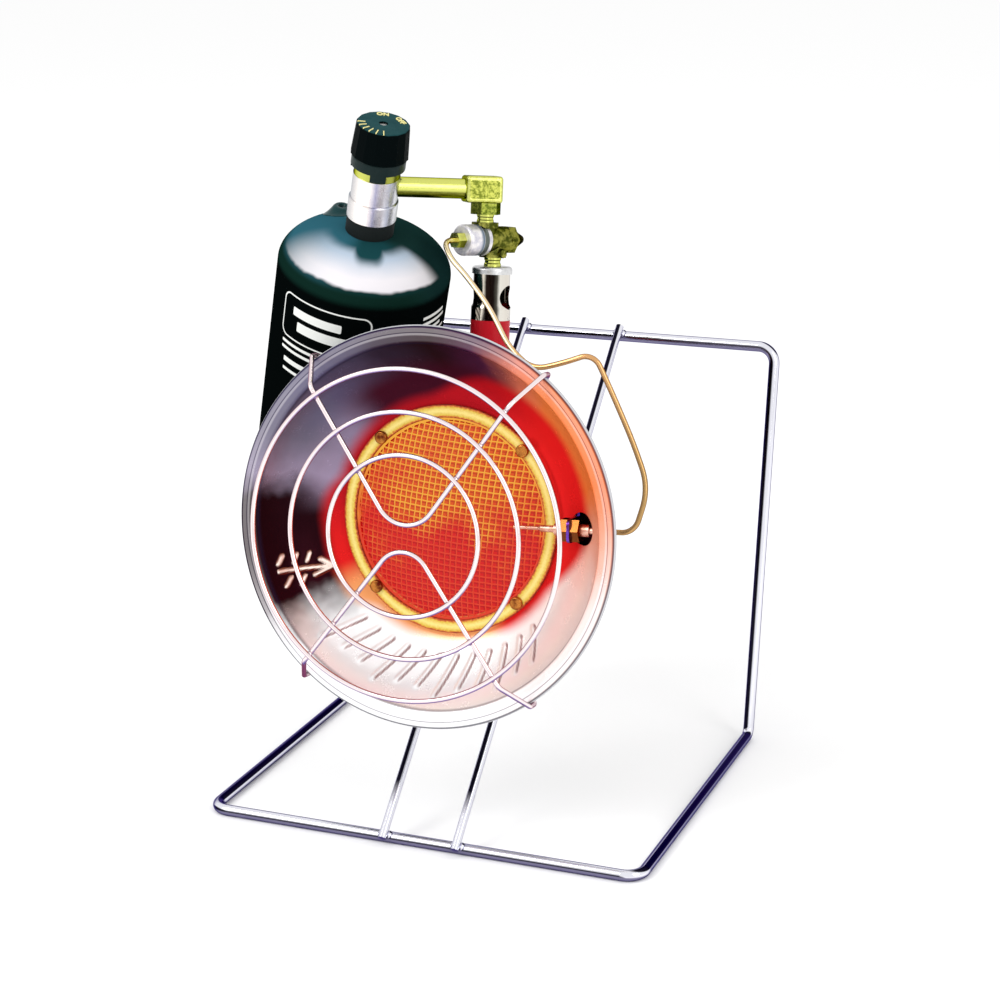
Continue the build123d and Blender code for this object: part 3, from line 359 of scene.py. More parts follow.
def raise_by(g, height, depth, strength):
    """Joins a height, in units of depth millimetres, to the shader's normal."""
    bump = g.add("ShaderNodeBump", Height=height, Distance=depth * 0.001, Strength=strength)
    g.paint(Normal=bump.outputs["Normal"])


def wear_down(g, place, size, low, high, depth=0.0, strength=0.0):
    """Gives the shader the wear's roughness from low to high, and with a depth its height too."""
    worn = g.use("wear", Place=place, Size=size, Low=low, High=high)
    g.paint(Roughness=worn["Roughness"])
    if depth:
        raise_by(g, worn["Height"], depth, strength)


# ---- Finishes ----
RIM_SPREAD = 0.28  # how much nearer to edge on a wire's outline is full than where it starts
FLAG_FADE = 10.0  # millimetres of height over which a flag sets in


def wire_chrome(name, light, dark, rim, flags, rim_start=0.5, grazing=None, above=None):
    """Bright plated wire with painted light. Each of (toward, start, end, shade) paints its shade,
    or else dark, on what faces toward: painted reflections of dark flags, and painted shade on the
    underside. Its outline is painted in the shade rim, as edge shade. With above, in millimetres,
    the first flag shows only higher up."""
    material, g = finish_of(name, light, metallic=1.0, Specular_Tint=grazing or rim)
    place = g.local(ROW)
    shade = light
    # Painted reflections and painted underside shade, one flag after another.
    for number, (toward, start, end, *own) in enumerate(flags):
        flag = g.facing(toward, start, end)
        if number == 0 and above is not None:
            flag = g.times(flag, g.map(g.split(place)[2], above, above + FLAG_FADE))
        shade = g.mix(flag, shade, own[0] if own else dark)
    # A painted dark outline where the wire is seen edge on.
    g.paint(Base_Color=g.mix(g.edge(rim_start, rim_start + RIM_SPREAD), shade, rim))
    wear_down(g, place, 9.0, 0.08, 0.2, 0.02, 0.3)
    return material


def plain_metal(name, light, dark, low, high, size=7.0):
    """Plain sheet or bar, clouded between two shades."""
    material, g = finish_of(name, light, metallic=1.0)
    place = g.local(ROW)
    cloud = g.soft(g.noise(place, 0.12, 4.0, 0.65), 0.35, 0.65)
    g.paint(Base_Color=g.mix(cloud, light, dark))
    wear_down(g, place, size, low, high, 0.03, 0.4)
    return material


def striped_metal(name, where, stops, low, high):
    """Bright metal round a frame's Z axis, with the long soft reflections that run up its side
    painted in its colour.
    """
    material, g = finish_of(name, stops[0][1], metallic=1.0)
    place = g.local(where)
    x, y, _ = g.split(place)
    waver = g.times(g.minus(g.noise(place, 0.15), 0.5), 0.02)
    # The painted reflections, by share of a turn round the axis.
    g.paint(Base_Color=g.ramp(g.plus(g.turn(x, y), waver), stops))
    wear_down(g, place, 6.0, low, high)
    raise_by(g, g.use("drawn_lines", Place=place, Pitch=0.35)["Height"], 0.03, 0.4)
    return material


def brass_cast(name, light, dark, grain):
    """Cast brass: blotched, pitted, greener in its hollows."""
    material, g = finish_of(name, light, metallic=1.0, Specular_Tint=dark)
    place = g.local(ROW)
    skin = g.use("cast_skin", Place=place, Grain=grain)
    g.paint(Base_Color=g.mix(skin["Blotch"], light, dark))
    wear_down(g, place, 6.0, 0.2, 0.4)
    raise_by(g, skin["Height"], 0.5, 0.8)
    return material


def turned_brass(name, light, dark):
    """Smooth brass tube and bar, with painted shade on its underside and a painted dark outline
    where seen edge on, and faint clouds.
    """
    material, g = finish_of(name, light, metallic=1.0, Specular_Tint=dark)
    # Painted shade on the underside and where the surface is seen edge on.
    under = g.facing((0.0, 0.0, -1.0), -0.1, 0.6)
    g.paint(Base_Color=g.mix(g.most(under, g.edge(0.6, 0.9)), light, dark))
    wear_down(g, g.local(ROW), 5.0, 0.14, 0.3, 0.05, 0.5)
    return material


def elbow_finish():
    """Forged elbow: pale faces, a rough panel stamped in its side, and a darker hexagon below."""
    pale, grazing = colour(216, 220, 124), colour(96, 104, 40)
    material, g = finish_of("cast_brass", pale, metallic=1.0, Specular_Tint=grazing)
    place = g.local(ELBOW)
    x, y, z = g.split(place)
    skin = g.use("cast_skin", Place=place, Grain=0.5)
    feeds = {"Half_Width": 8.6, "Half_Height": 5.0, "Corner": 1.6}
    panel = g.use("rounded_panel", Across=g.plus(x, 2.6), Up=z, **feeds)["Fill"]
    panel = g.times(panel, g.map(y, -7.2, -7.4))
    smooth = g.mix(skin["Blotch"], colour(220, 224, 130), colour(204, 208, 106))
    rough = g.mix(skin["Blotch"], colour(206, 210, 100), colour(118, 130, 46))
    hexagon = g.mix(skin["Blotch"], colour(150, 158, 66), colour(84, 98, 30))
    g.paint(Base_Color=g.mix(g.map(z, -7.3, -7.7), g.mix(panel, smooth, rough), hexagon))
    g.paint(Roughness=g.map(panel, 0.0, 1.0, 0.22, 0.42))
    raise_by(g, g.times(skin["Height"], g.map(panel, 0.0, 1.0, 0.25, 1.0)), 0.4, 0.8)
    return material


# The thermocouple's tube, by share of the way from the valve to the right of the brim.
COPPER = shades(
    (0.0, 240, 222, 180), (0.3, 238, 212, 172), (0.42, 228, 178, 116),
    (0.7, 222, 170, 116), (1.0, 176, 142, 92),
)


def lead_finish():
    """Copper tube: cream towards the valve, orange behind the brim, brown by the probe, with a
    painted dark outline where seen edge on.
    """
    cream, brown = colour(240, 222, 186), colour(120, 74, 40)
    material, g = finish_of("copper_lead", cream, metallic=1.0, Specular_Tint=brown)
    place = g.local(FACE)
    shade = g.ramp(g.map(g.split(place)[0], -10.0, 120.0), COPPER)
    # A painted dark outline where the tube is seen edge on.
    g.paint(Base_Color=g.mix(g.edge(0.42, 0.72), shade, brown))
    wear_down(g, place, 5.0, 0.16, 0.3, 0.05, 0.5)
    return material


def can_finish():
    """Satin plated can with one groove painted dark as shade, and a painted blue shade behind it.
    """
    sockets = {"metallic": 0.6, "roughness": 0.36, "Specular_Tint": colour(90, 92, 104)}
    material, g = finish_of("magnet_can", colour(236, 232, 234), **sockets)
    place = g.local(MAGNET)
    z = g.split(place)[2]
    cloud = g.map(g.noise(place, 0.25, 3.0), 0.4, 0.6)
    shade = g.mix(cloud, colour(240, 236, 236), colour(206, 204, 214))
    # Painted blue shade, in a band.
    behind = g.times(g.map(z, 14.2, 14.6), g.map(z, 17.0, 15.4))
    shade = g.mix(behind, shade, colour(110, 124, 140))
    # The groove, painted dark as shade.
    groove = g.times(g.map(z, 10.7, 11.0), g.map(z, 14.4, 14.1))
    g.paint(Base_Color=g.mix(groove, shade, colour(104, 110, 104)))
    raise_by(g, g.use("wear", Place=place, Size=5.0)["Height"], 0.05, 0.5)
    return material


def hole_shade_finish():
    """Cup behind the thermocouple's hole: painted dark red and blued inside, as the shade seen
    through the hole, plain behind.
    """
    red, blued, plain = colour(120, 14, 44), colour(84, 12, 72), colour(196, 190, 186)
    material, g = finish_of("hole_shade_steel", red, metallic=1.0, roughness=0.3)
    place = g.local(FACE)
    # The dark red and blued inside is painted shade.
    inside = g.mix(g.soft(g.noise(place, 0.15, 3.0), 0.4, 0.6), red, blued)
    ahead = g.split(g.turned_normal(FACE))[2]
    g.paint(Base_Color=g.mix(g.map(ahead, -0.5, -0.2), plain, inside))
    raise_by(g, g.use("wear", Place=place, Size=4.0)["Height"], 0.03, 0.4)
    return material


# Painted highlight lines and painted shade lines of the brim, by share of the way across it: how
# strong each is.
BRIM_INNER, BRIM_OUTER = 99.0, 110.5
BRIM_HIGHLIGHT_LINES = greys(
    (0, 0), (0.2, 0), (0.3, 0.2), (0.5, 0.2), (0.56, 0.9),
    (0.62, 0.9), (0.65, 0.2), (0.7, 0.55), (0.84, 0.55), (0.9, 0),
)
BRIM_SHADE_LINES = greys(
    (0, 0), (0.08, 0), (0.14, 0.55), (0.2, 0), (0.63, 0),
    (0.66, 0.8), (0.69, 0), (0.86, 0), (0.93, 0.85),
)

# Painted reflections and heat tints of the bowl, by share of a turn from the right, anticlockwise.
REFLECTION_AND_HEAT_TINTS = shades(
    (0.0, 242, 164, 136), (0.05, 236, 122, 58), (0.13, 238, 130, 66), (0.17, 216, 120, 92),
    (0.205, 80, 34, 66), (0.25, 44, 22, 28), (0.30, 56, 44, 62), (0.36, 88, 84, 114),
    (0.43, 106, 102, 122), (0.465, 142, 132, 156), (0.49, 34, 12, 18), (0.585, 40, 10, 18),
    (0.63, 250, 253, 254), (0.80, 252, 254, 254), (0.87, 246, 236, 232), (0.95, 246, 222, 214),
    (1.0, 242, 164, 136),
)


def reflector_finish():
    """Polished bowl, with painted reflections and heat tints: white below, violet grey at the upper
    left, nearly black at the left, orange at the right, and ember red round the burner, a painted
    reflection of its glow with heat tint. Its brim has thin painted highlight and shade lines."""
    sockets = {"metallic": 0.3, "Specular_IOR_Level": 0.0, "Specular_Tint": colour(60, 50, 70)}
    material, g = finish_of("reflector_polish", REFLECTION_AND_HEAT_TINTS[0][1], **sockets)
    place = g.local(FACE)
    x, y, _ = g.split(place)
    far = g.radius(x, y)
    lobe = partial(g.lobe, x, y, far)
    sway = g.times(g.minus(g.noise(place, 0.03, 3.0), 0.5), 0.05)
    shade = g.ramp(g.sum("FRACT", g.plus(g.turn(x, y), g.plus(sway, 1.0))), REFLECTION_AND_HEAT_TINTS)
    # Painted reflections: violet grey at the upper left, and nearly black towards the top.
    violet = g.times(lobe(152, 16, 16), g.soft(far, 92.0, 74.0))
    shade = g.mix(g.times(violet, 0.5), shade, colour(160, 142, 170))
    black = g.times(lobe(100, 20, 24), g.soft(far, 96.0, 80.0))
    shade = g.mix(black, shade, colour(62, 18, 34))

    # The ember red, a painted reflection of the burner's glow with heat tint, ends at a radius,
    # reach, that is larger at the upper right and at the left.
    reach = g.map(lobe(36, 24, 44), 0.0, 1.0, 69.0, 86.0)
    reach = g.plus(reach, g.times(lobe(198, 20, 16), 6.0))
    past = g.minus(g.plus(far, g.times(sway, 40.0)), reach)
    red = g.mix(lobe(120, 40, 40), colour(222, 34, 34), colour(176, 24, 34))
    red = g.mix(lobe(255, 35, 15), red, colour(238, 160, 100))
    shade = g.mix(g.soft(past, -4.0, 5.0, 1.0, 0.0), shade, red)

    # The pressings get a painted highlight at the left, and a painted shaded side and a painted lit
    # side everywhere.
    raised = g.attribute("raised")
    normal = g.turned_normal(FACE)
    left = lobe(195, 20, 6)
    shade = g.mix(g.times(g.map(raised, 0.25, 0.6), left), shade, colour(250, 232, 220))
    side = g.use("turned_aside", Place=place, Normal=normal)["Share"]
    side = g.times(side, g.map(raised, 0.02, 0.12))
    painted_shaded_side = g.mix(left, colour(120, 62, 58), colour(96, 34, 26))
    painted_lit_side = g.mix(left, colour(238, 226, 222), colour(150, 92, 70))
    shade = g.mix(g.map(side, 0.1, 0.34), shade, painted_shaded_side)
    shade = g.mix(g.map(side, -0.1, -0.4), shade, painted_lit_side)

    # The brim's painted highlight lines, stronger towards the bottom, and its painted shade lines.
    across = g.map(far, BRIM_INNER, BRIM_OUTER)
    pale = g.map(lobe(-80, 58, 30), 0.0, 1.0, 0.3, 1.0)
    shade = g.mix(g.times(g.ramp(across, BRIM_HIGHLIGHT_LINES), pale), shade, colour(250, 246, 250))
    shade = g.mix(g.ramp(across, BRIM_SHADE_LINES), shade, colour(38, 32, 58))

    # The back of the sheet is plain, and straw coloured towards the burner.
    a, b, c = g.split(normal)
    inward = g.over(g.plus(g.times(x, a), g.times(y, b)), far)
    front = g.sum("MULTIPLY_ADD", c, 0.77, g.times(inward, -0.64))
    straw = g.times(g.soft(far, 92.0, 66.0), 0.6)
    behind = g.mix(straw, colour(202, 202, 206), colour(196, 178, 150))
    g.paint(Base_Color=g.mix(g.map(front, -0.15, 0.1), behind, shade))
    wear_down(g, place, 12.0, 0.16, 0.3)
    raise_by(g, g.use("drawn_lines", Place=place, Pitch=0.6)["Height"], 0.06, 0.35)
    return material


SCREEN_PITCH = 3.4


def glowing(name, hot, cool, grid=False):
    """Red-hot wire cloth: its glow runs from cool below to hot above, in clouds. With grid, the
    wires are painted on it, darker."""
    sockets = {"metallic": 0.3, "roughness": 0.6, "Emission_Strength": 1.0}
    material, g = finish_of(name, colour(60, 12, 8), **sockets)
    place = g.local(WEAVE)
    x, y, _ = g.split(place)
    rise = g.sum("MULTIPLY_ADD", y, 0.006, g.noise(place, 0.03))
    glow = g.mix(g.soft(rise, 0.36, 0.72), cool, hot)
    if grid:
        shares = [g.sum("FRACT", g.over(value, SCREEN_PITCH)) for value in (x, y)]
        cells = [g.sum("ABSOLUTE", g.minus(share, 0.5)) for share in shares]
        wire = g.map(g.sum("MINIMUM", *cells), 0.05, 0.12, 1.0, 0.0)
        glow = g.mix(g.times(wire, 0.55), glow, colour(140, 14, 16))
    g.paint(Emission_Color=glow)
    return material


# The clamping ring, from its middle line outwards to its burnt edges.
RING_RADIUS = 60.5
RING_BURNS = shades(
    (0.0, 232, 212, 124), (0.5, 212, 180, 62), (0.74, 190, 84, 24), (0.95, 110, 18, 14)
)


def ring_finish():
    """Clamping ring, yellow, with a faint painted glow of the same shade; its edges fuzzy and
    burnt.
    """
    sockets = {"metallic": 0.2, "roughness": 0.5, "Emission_Strength": 0.12}
    material, g = finish_of("ring_yellow", colour(214, 186, 70), **sockets)
    place = g.local(FACE)
    x, y, _ = g.split(place)
    fuzz = g.noise(place, 0.7, 5.0, 0.7)
    off = g.sum("ABSOLUTE", g.minus(g.radius(x, y), RING_RADIUS))
    shade = g.ramp(g.map(g.plus(off, g.times(fuzz, 3.2)), 1.9, 5.6), RING_BURNS)
    # The shade is also a faint painted glow.
    g.paint(Base_Color=shade, Emission_Color=shade)
    raise_by(g, fuzz, 0.4, 0.6)
    return material


def enamel(name, shade):
    """Sprayed enamel with faint orange peel."""
    material, g = finish_of(name, shade, Specular_IOR_Level=0.15)
    place = g.local(ROW)
    wear_down(g, place, 10.0, 0.16, 0.28)
    raise_by(g, g.noise(place, 1.4, 2.0), 0.03, 0.4)
    return material


# Prints on the cylinder: middle round its wall and along its axis, half width, half height, corner
# and line. Those with a corner below BAR_CORNER are filled bars.
CYLINDER_RADIUS, BAR_CORNER = 49.2, 1.5
PRINTS = (
    (-109, -70.5, 28.5, 13.5, 5, 0.9),
    (-113, -66, 16, 2.6, 0.8, 0.5),
    (-106, -74.5, 19, 3, 0.8, 0.5),
    (-116, -88, 20, 0.9, 0.5, 0.5),
    (-114, -92, 22, 0.9, 0.5, 0.5),
    (-120, -99, 13, 1.5, 0.5, 0.5),
    (-118, -105, 15, 0.9, 0.5, 0.5),
    (-38, -61, 10, 1, 0.4, 0.4),
    (-37, -65, 11, 1, 0.4, 0.4),
    (-39, -69, 9, 1, 0.4, 0.4),
    (-36, -73, 12, 0.8, 0.4, 0.4),
)


def cylinder_finish():
    """Deep green enamel: a painted pale sheen round the front of its dome, painted shade that makes
    it nearly black from its shoulder down, with a rounded panel and plain bars printed on the wall."""
    teal, deep, black = colour(22, 62, 66), colour(12, 36, 30), colour(4, 7, 7)
    material, g = finish_of("cylinder_enamel", teal, Specular_IOR_Level=0.0)
    place = g.local(TANK)
    x, y, z = g.split(place)
    far = g.radius(x, y)
    lobe = partial(g.lobe, x, y, far)
    # Painted light on the dome: a bluer painted reflection at the left, painted shade deeper
    # towards the shoulder and at the right, and a dark painted reflection swirling at the right
    # front.
    shade = g.mix(lobe(175, 35, 40), teal, colour(42, 90, 104))
    shade = g.mix(g.soft(z, -38.0, -45.0), shade, deep)
    shade = g.mix(lobe(5, 40, 40), shade, colour(20, 46, 44))
    sway = g.plus(far, g.times(g.minus(g.noise(place, 0.06, 2.0), 0.5), 3.0))
    painted_dark_swirl = g.times(lobe(-25, 12, 26), g.soft(sway, 24.0, 34.0))
    shade = g.mix(g.times(painted_dark_swirl, 0.7), shade, colour(14, 36, 36))

    # The painted sheen is a crescent, narrower where the neck stands before it and is reflected
    # dark.
    inner = g.map(lobe(-100, 6, 16), 0.0, 1.0, 19.0, 26.0)
    crescent = g.times(g.soft(g.minus(sway, inner), 0.0, 9.0), g.soft(sway, 46.0, 44.4))
    sheen = g.times(crescent, g.times(lobe(-98, 18, 84), lobe(-120, 70, 16)))
    bright = g.mix(g.map(sway, 28.0, 40.0), colour(176, 190, 206), colour(226, 222, 226))
    shade = g.mix(g.times(sheen, 0.95), shade, bright)

    # The wall is painted nearly black as shade, with two faint streaks of painted reflection
    # behind.
    shade = g.mix(g.soft(z, -47.0, -52.0), shade, black)
    streak = g.most(lobe(62, 3, 12), g.times(lobe(118, 1, 8), 0.6))
    shade = g.mix(g.times(streak, 0.3), shade, colour(112, 140, 138))

    around = g.times(g.sum("ARCTAN2", y, x), CYLINDER_RADIUS)
    printed = 0.0
    for middle, height, half_width, half_height, corner, line in PRINTS:
        feeds = {"Across": g.minus(around, middle), "Up": g.minus(z, height), "Line": line}
        feeds.update(Half_Width=half_width, Half_Height=half_height, Corner=corner)
        panel = g.use("rounded_panel", **feeds)
        printed = g.most(printed, panel["Outline" if corner > BAR_CORNER else "Fill"])
    g.paint(Base_Color=g.mix(printed, shade, colour(226, 228, 224)))
    wear_down(g, place, 12.0, 0.2, 0.32)
    return material


def moulded_grain(g, place, low=0.3, high=0.5):
    wear_down(g, place, 3.0, low, high)
    raise_by(g, g.noise(place, 5.0, 2.0), 0.06, 0.4)


def moulded(name, shade, *roughness):
    """Satin moulded plastic or rubber with a fine grain."""
    material, g = finish_of(name, shade, Specular_IOR_Level=0.15)
    moulded_grain(g, g.local(ROW), *roughness)
    return material


def knob_finish():
    """Moulded knob: nearly black round its side, with a painted blue green sheen on its face, where
    it catches the light.
    """
    side = colour(4, 9, 10)
    material, g = finish_of("knob_plastic", side, Specular_IOR_Level=0.01)
    place = g.local(TANK)
    # The face's blue green is a painted sheen.
    face = g.mix(g.noise(place, 0.12, 2.0), colour(22, 54, 58), colour(40, 78, 80))
    g.paint(Base_Color=g.mix(g.map(g.split(place)[2], 37.9, 38.3), side, face))
    moulded_grain(g, place)
    return material


# Painted soft reflections round the air collar and round the regulator, by share of a turn.
COLLAR = shades(
    (0.0, 204, 198, 190), (0.12, 120, 110, 100), (0.3, 226, 222, 216), (0.5, 120, 112, 104),
    (0.58, 48, 38, 32), (0.66, 60, 46, 38), (0.685, 240, 230, 214), (0.74, 228, 220, 204),
    (0.765, 34, 24, 20), (0.83, 26, 18, 16), (0.86, 78, 76, 68), (0.885, 236, 232, 222),
    (0.95, 220, 214, 204),
)
SILVER = shades(
    (0.0, 190, 190, 200), (0.45, 130, 138, 150), (0.52, 206, 204, 206), (0.60, 242, 236, 232),
    (0.68, 246, 238, 234), (0.72, 168, 168, 196), (0.76, 232, 228, 232), (0.82, 176, 180, 196),
    (0.88, 226, 226, 230), (0.94, 104, 116, 116),
)


# ---- Meshes from grids ----
def circle(count):
    """Angles of count points round a circle."""
    return np.linspace(0, 2 * np.pi, count, endpoint=False)


def cells_of(rows, columns, around=False):
    """Corner numbers of the cells of a grid; around joins the last column to the first."""
    across = np.arange(columns if around else columns - 1)
    i, j = np.meshgrid(np.arange(rows - 1) * columns, across, indexing="ij")
    k = (j + 1) % columns
    return np.stack([i + j, i + k, i + columns + k, i + columns + j], -1).reshape(-1, 4)


def capped_cells(rows, turns):
    """The cells of a grid that goes round, with a cap on its first row and on its last."""
    faces = cells_of(rows, turns, True).tolist()
    faces.append(list(range(turns - 1, -1, -1)))
    faces.append(list(range((rows - 1) * turns, rows * turns)))
    return faces


def raise_mark(piece, heights):
    """Keeps how far each point was raised, 0 to 1, as the attribute that the finish reads."""
    layer = piece.data.attributes.new("raised", "FLOAT", "POINT")
    layer.data.foreach_set("value", np.asarray(heights, np.float32))


def mesh_piece(name, parts, material, body="heater", smooth=True):
    """One object out of (points, faces) parts, in metres, riding on a body."""
    points, faces, start = [], [], 0
    for part_points, part_faces in parts:
        points.append(part_points)
        faces.extend([[int(c) + start for c in face] for face in part_faces])
        start += len(part_points)
    data = bpy.data.meshes.new(name)
    data.from_pydata(np.concatenate(points).tolist(), [], faces)
    data.polygons.foreach_set("use_smooth", [smooth] * len(data.polygons))
    data.materials.append(material)
    data.update()
    piece = link(name, data)
    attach(piece, body)
    return piece


def wires(paths, up, radius, sides):
    """Round wires along many paths, an array of (wires, samples, 3). Each ring of points is
    p + r (n cos a + b sin a), where b is across the path and up, and n is across b and the path."""
    count, samples, _ = paths.shape
    along = np.gradient(paths, axis=1)
    along /= np.linalg.norm(along, axis=2, keepdims=True)
    across = np.cross(along, np.asarray(up, float))
    across /= np.linalg.norm(across, axis=2, keepdims=True)
    normal = np.cross(across, along)
    angle = circle(sides)[:, None]
    ring = np.cos(angle) * normal[:, :, None, :] + np.sin(angle) * across[:, :, None, :]
    points = paths[:, :, None, :] + radius * ring
    size = samples * sides
    starts = (np.arange(count) * size)[:, None, None]
    faces = (cells_of(samples, sides, True)[None] + starts).reshape(-1, 4).tolist()
    for first in range(0, count * size, size):
        faces.append(list(range(first + sides - 1, first - 1, -1)))
        faces.append(list(range(first + size - sides, first + size)))
    return points.reshape(-1, 3), faces


def spun(where, profile, turns):
    """A closed profile of (radius, height) rows spun round a frame's Z axis."""
    angle = circle(turns)
    radius, height = profile[:, :1], profile[:, 1:]
    points = [radius * np.cos(angle), radius * np.sin(angle), height + 0 * angle]
    faces = cells_of(len(profile) + 1, turns, True) % (len(profile) * turns)
    return placed(where, np.stack(points, -1).reshape(-1, 3)), faces


# Edge of the outer screen that the clamping ring holds: (radius, height) rows, outside first.
SCREEN_EDGE = np.array(
    [(55.6, -38.9), (56.0, -38.7), (56.6, -39.0), (63.6, -39.0), (63.6, -39.5), (55.6, -39.5)]
)


def woven_cloth():
    """Plain-woven wire cloth pressed to a dome: z = top + sqrt(c^2 - r^2) - c. Each wire rises and
    falls by wave cos(pi t / pitch), one way for even wires and the other way for odd ones."""
    wave, thick, reach, top, crown = 0.33, 0.36, 56.0, -27.3, 137.6
    side_wires, samples = 16, 67
    lines = np.arange(-side_wires, side_wires + 1) * SCREEN_PITCH
    made = []
    for way in (-1, 1):
        t = np.sqrt(reach**2 - lines**2)[:, None] * np.linspace(-1, 1, samples)
        s = np.repeat(lines[:, None], samples, 1)
        odd = (np.arange(len(lines)) % 2 * 2 - 1)[:, None] * way
        x, y = (t, s) if way < 0 else (s, t)
        z = top + np.sqrt(crown**2 - x**2 - y**2) - crown
        z = z + wave * odd * np.cos(np.pi * t / SCREEN_PITCH)
        paths = placed(WEAVE, np.stack([x, y, z], -1))
        made.append(wires(paths, np.array(FACE)[:3, 2], thick * 0.001, 4))
    made.append(spun(FACE, SCREEN_EDGE, 128))
    return made


# ---- The bowl ----
ARC_RADIUS, ARC_OUT, ARC_UP = 62, 42.6, 17.4  # the bowl's arc, and its middle in the profile
HOLE = 82 * np.array([math.cos(math.radians(3)), math.sin(math.radians(3))])
HOLE_RADIUS = 9.0
FULLY_RAISED = 1.1  # the rise whose share is 1


def bowl_height(radius):
    """Height of the bowl's middle surface: an arc of ARC_RADIUS about (ARC_OUT, ARC_UP)."""
    out = np.clip(radius, 66, 99.5) - ARC_OUT
    return ARC_UP - np.sqrt(ARC_RADIUS**2 - out**2)


def bar_height(x, y, start, end, half, rise):
    """Height of a pressed bar with round ends: rise (1 - smoothstep) of the distance to it."""
    a, b = np.array(start, float), np.array(end, float)
    span = b - a
    share = np.clip(((x - a[0]) * span[0] + (y - a[1]) * span[1]) / (span @ span), 0, 1)
    away = np.hypot(x - a[0] - share * span[0], y - a[1] - share * span[1])
    t = np.clip(away / (1.7 * half), 0, 1)
    return rise * (1 - t * t * (3 - 2 * t))


def pressings(x, y):
    """Raised shapes of the bowl: an arrow to the burner between two rows of short ribs, and a row
    of slanted ribs below the burner, every third one longer."""
    tip = (-68.5, -33.2)
    bars = [((-103, -36.3), (-72, -33.5), 1.1, 1.0)]
    bars += [(tip, end, 1.2, 1.0) for end in ((-75.5, -29.5), (-76.5, -38.0))]
    for i in range(10):
        left = -103 + 5.4 * (i % 5)
        low = (-32.6 if i < 5 else -45.0) + 0.5 * (i % 5)
        bars.append(((left, low), (left + 0.6, low + 4.8), 0.9, 0.9))
    for i in range(12):
        a = math.radians(-133 + 7.6 * i)
        b = a + math.radians(4.5)
        polar = (92 if i % 3 else 95, a), (77, b)
        ends = [(far * math.cos(t), far * math.sin(t)) for far, t in polar]
        bars.append((*ends, 1.5, 0.8))
    return np.max([bar_height(x, y, *bar) for bar in bars], axis=0)


def reflector_sheet():
    """Middle surface of the bowl: its profile spun round the face's axis, raised by the pressings
    along the profile's normal. Round the thermocouple's hole the grid is pushed out onto the
    hole's circle. Gives the points, the faces and each point's share of being raised."""
    arc = np.linspace(math.atan2(-57.4, 23.4), math.atan2(-24.6, 56.9), 44)
    bowl = np.stack([ARC_OUT + ARC_RADIUS * np.cos(arc), ARC_UP + ARC_RADIUS * np.sin(arc)], -1)
    floor = np.stack([np.linspace(55.0, 65.0, 6), np.full(6, -40.0)], -1)
    step = np.array([(100.3, -5.2), (100.8, -3.6), (101.2, -2.3), (101.9, -1.7)])
    brim = np.stack([np.linspace(103.4, 107.9, 4), np.linspace(-1.35, -0.4, 4)], -1)
    roll = np.radians(102 - np.linspace(0, 290, 20)[1:])
    curl = np.stack([108.315 + 2 * np.cos(roll), -2.356 + 2 * np.sin(roll)], -1)
    profile = np.concatenate([floor, bowl, step, brim, curl])
    slope = np.gradient(profile, axis=0)
    slope /= np.linalg.norm(slope, axis=1, keepdims=True)
    turns = 540
    angle = circle(turns)
    radius = np.repeat(profile[:, :1], turns, 1)
    height = np.repeat(profile[:, 1:], turns, 1)
    x, y = radius * np.cos(angle), radius * np.sin(angle)
    away = np.hypot(x - HOLE[0], y - HOLE[1])
    inside = away < HOLE_RADIUS
    push = np.where(inside, HOLE_RADIUS / np.maximum(away, 0.01), 1.0)
    x, y = HOLE[0] + (x - HOLE[0]) * push, HOLE[1] + (y - HOLE[1]) * push
    height = np.where(inside, bowl_height(np.hypot(x, y)), height)
    rise = np.where((radius > 67) & (radius < 98.5), pressings(x, y), 0)
    out = rise * -slope[:, 1:2]
    x, y = x + out * np.cos(angle), y + out * np.sin(angle)
    height = height + rise * slope[:, :1]
    faces = cells_of(len(profile), turns, True)
    kept = faces[~inside.reshape(-1)[faces].all(1)]
    points = np.stack([x, y, height], -1).reshape(-1, 3)
    return placed(FACE, points), kept, rise.reshape(-1) / FULLY_RAISED


# ---- Small shapes ----
# Rows of the cup, (radius, drop behind the bowl): up the outside, over the rim and down inside.
CUP = np.array(
    [(0.3, 6.3), (9.6, 6.3), (10.8, 5.3), (10.8, 0.5)]
    + [(10.3, 0.5), (10.3, 5.2), (9.4, 5.8), (0.3, 5.8)]
)
# Rows of the relief valve's swelling and of its port, (radius, share of its height).
BOSS = np.array(
    [(10.5, 0), (9.2, 0.1), (8, 0.24), (6.9, 0.42), (6, 0.62), (5.2, 0.84), (4.5, 0.96), (3.7, 1.0)]
    + [(2.5, 1.0), (2.2, 0.96), (2.2, 0.1)]
)
ROUND_STEPS = 48


def hole_shade_cup():
    """Shallow cup behind the thermocouple's hole, dark inside as painted shade seen through the
    hole. Its rows follow the bowl's height.
    """
    angle = circle(ROUND_STEPS)
    x = HOLE[0] + CUP[:, :1] * np.cos(angle)
    y = HOLE[1] + CUP[:, :1] * np.sin(angle)
    points = np.stack([x, y, bowl_height(np.hypot(x, y)) - CUP[:, 1:]], -1).reshape(-1, 3)
    return placed(FACE, points), capped_cells(len(CUP), ROUND_STEPS)


def relief_boss():
    """Relief valve in its swelling of the dome. Each row keeps a share s of the way from the
    dome's surface to the top: z = dome + s (top - dome)."""
    shoulder, rise, top, off_axis, around = -51, 24, -28.0, 30, 111.0
    angle = circle(ROUND_STEPS)
    x = off_axis + BOSS[:, :1] * np.cos(angle)
    y = BOSS[:, :1] * np.sin(angle)
    dome = shoulder + rise * np.sqrt(1 - (x**2 + y**2) / CYLINDER_RADIUS**2)
    points = np.stack([x, y, dome + BOSS[:, 1:] * (top - dome)], -1).reshape(-1, 3)
    return placed(turned(TANK, rz=around), points), capped_cells(len(BOSS), ROUND_STEPS)


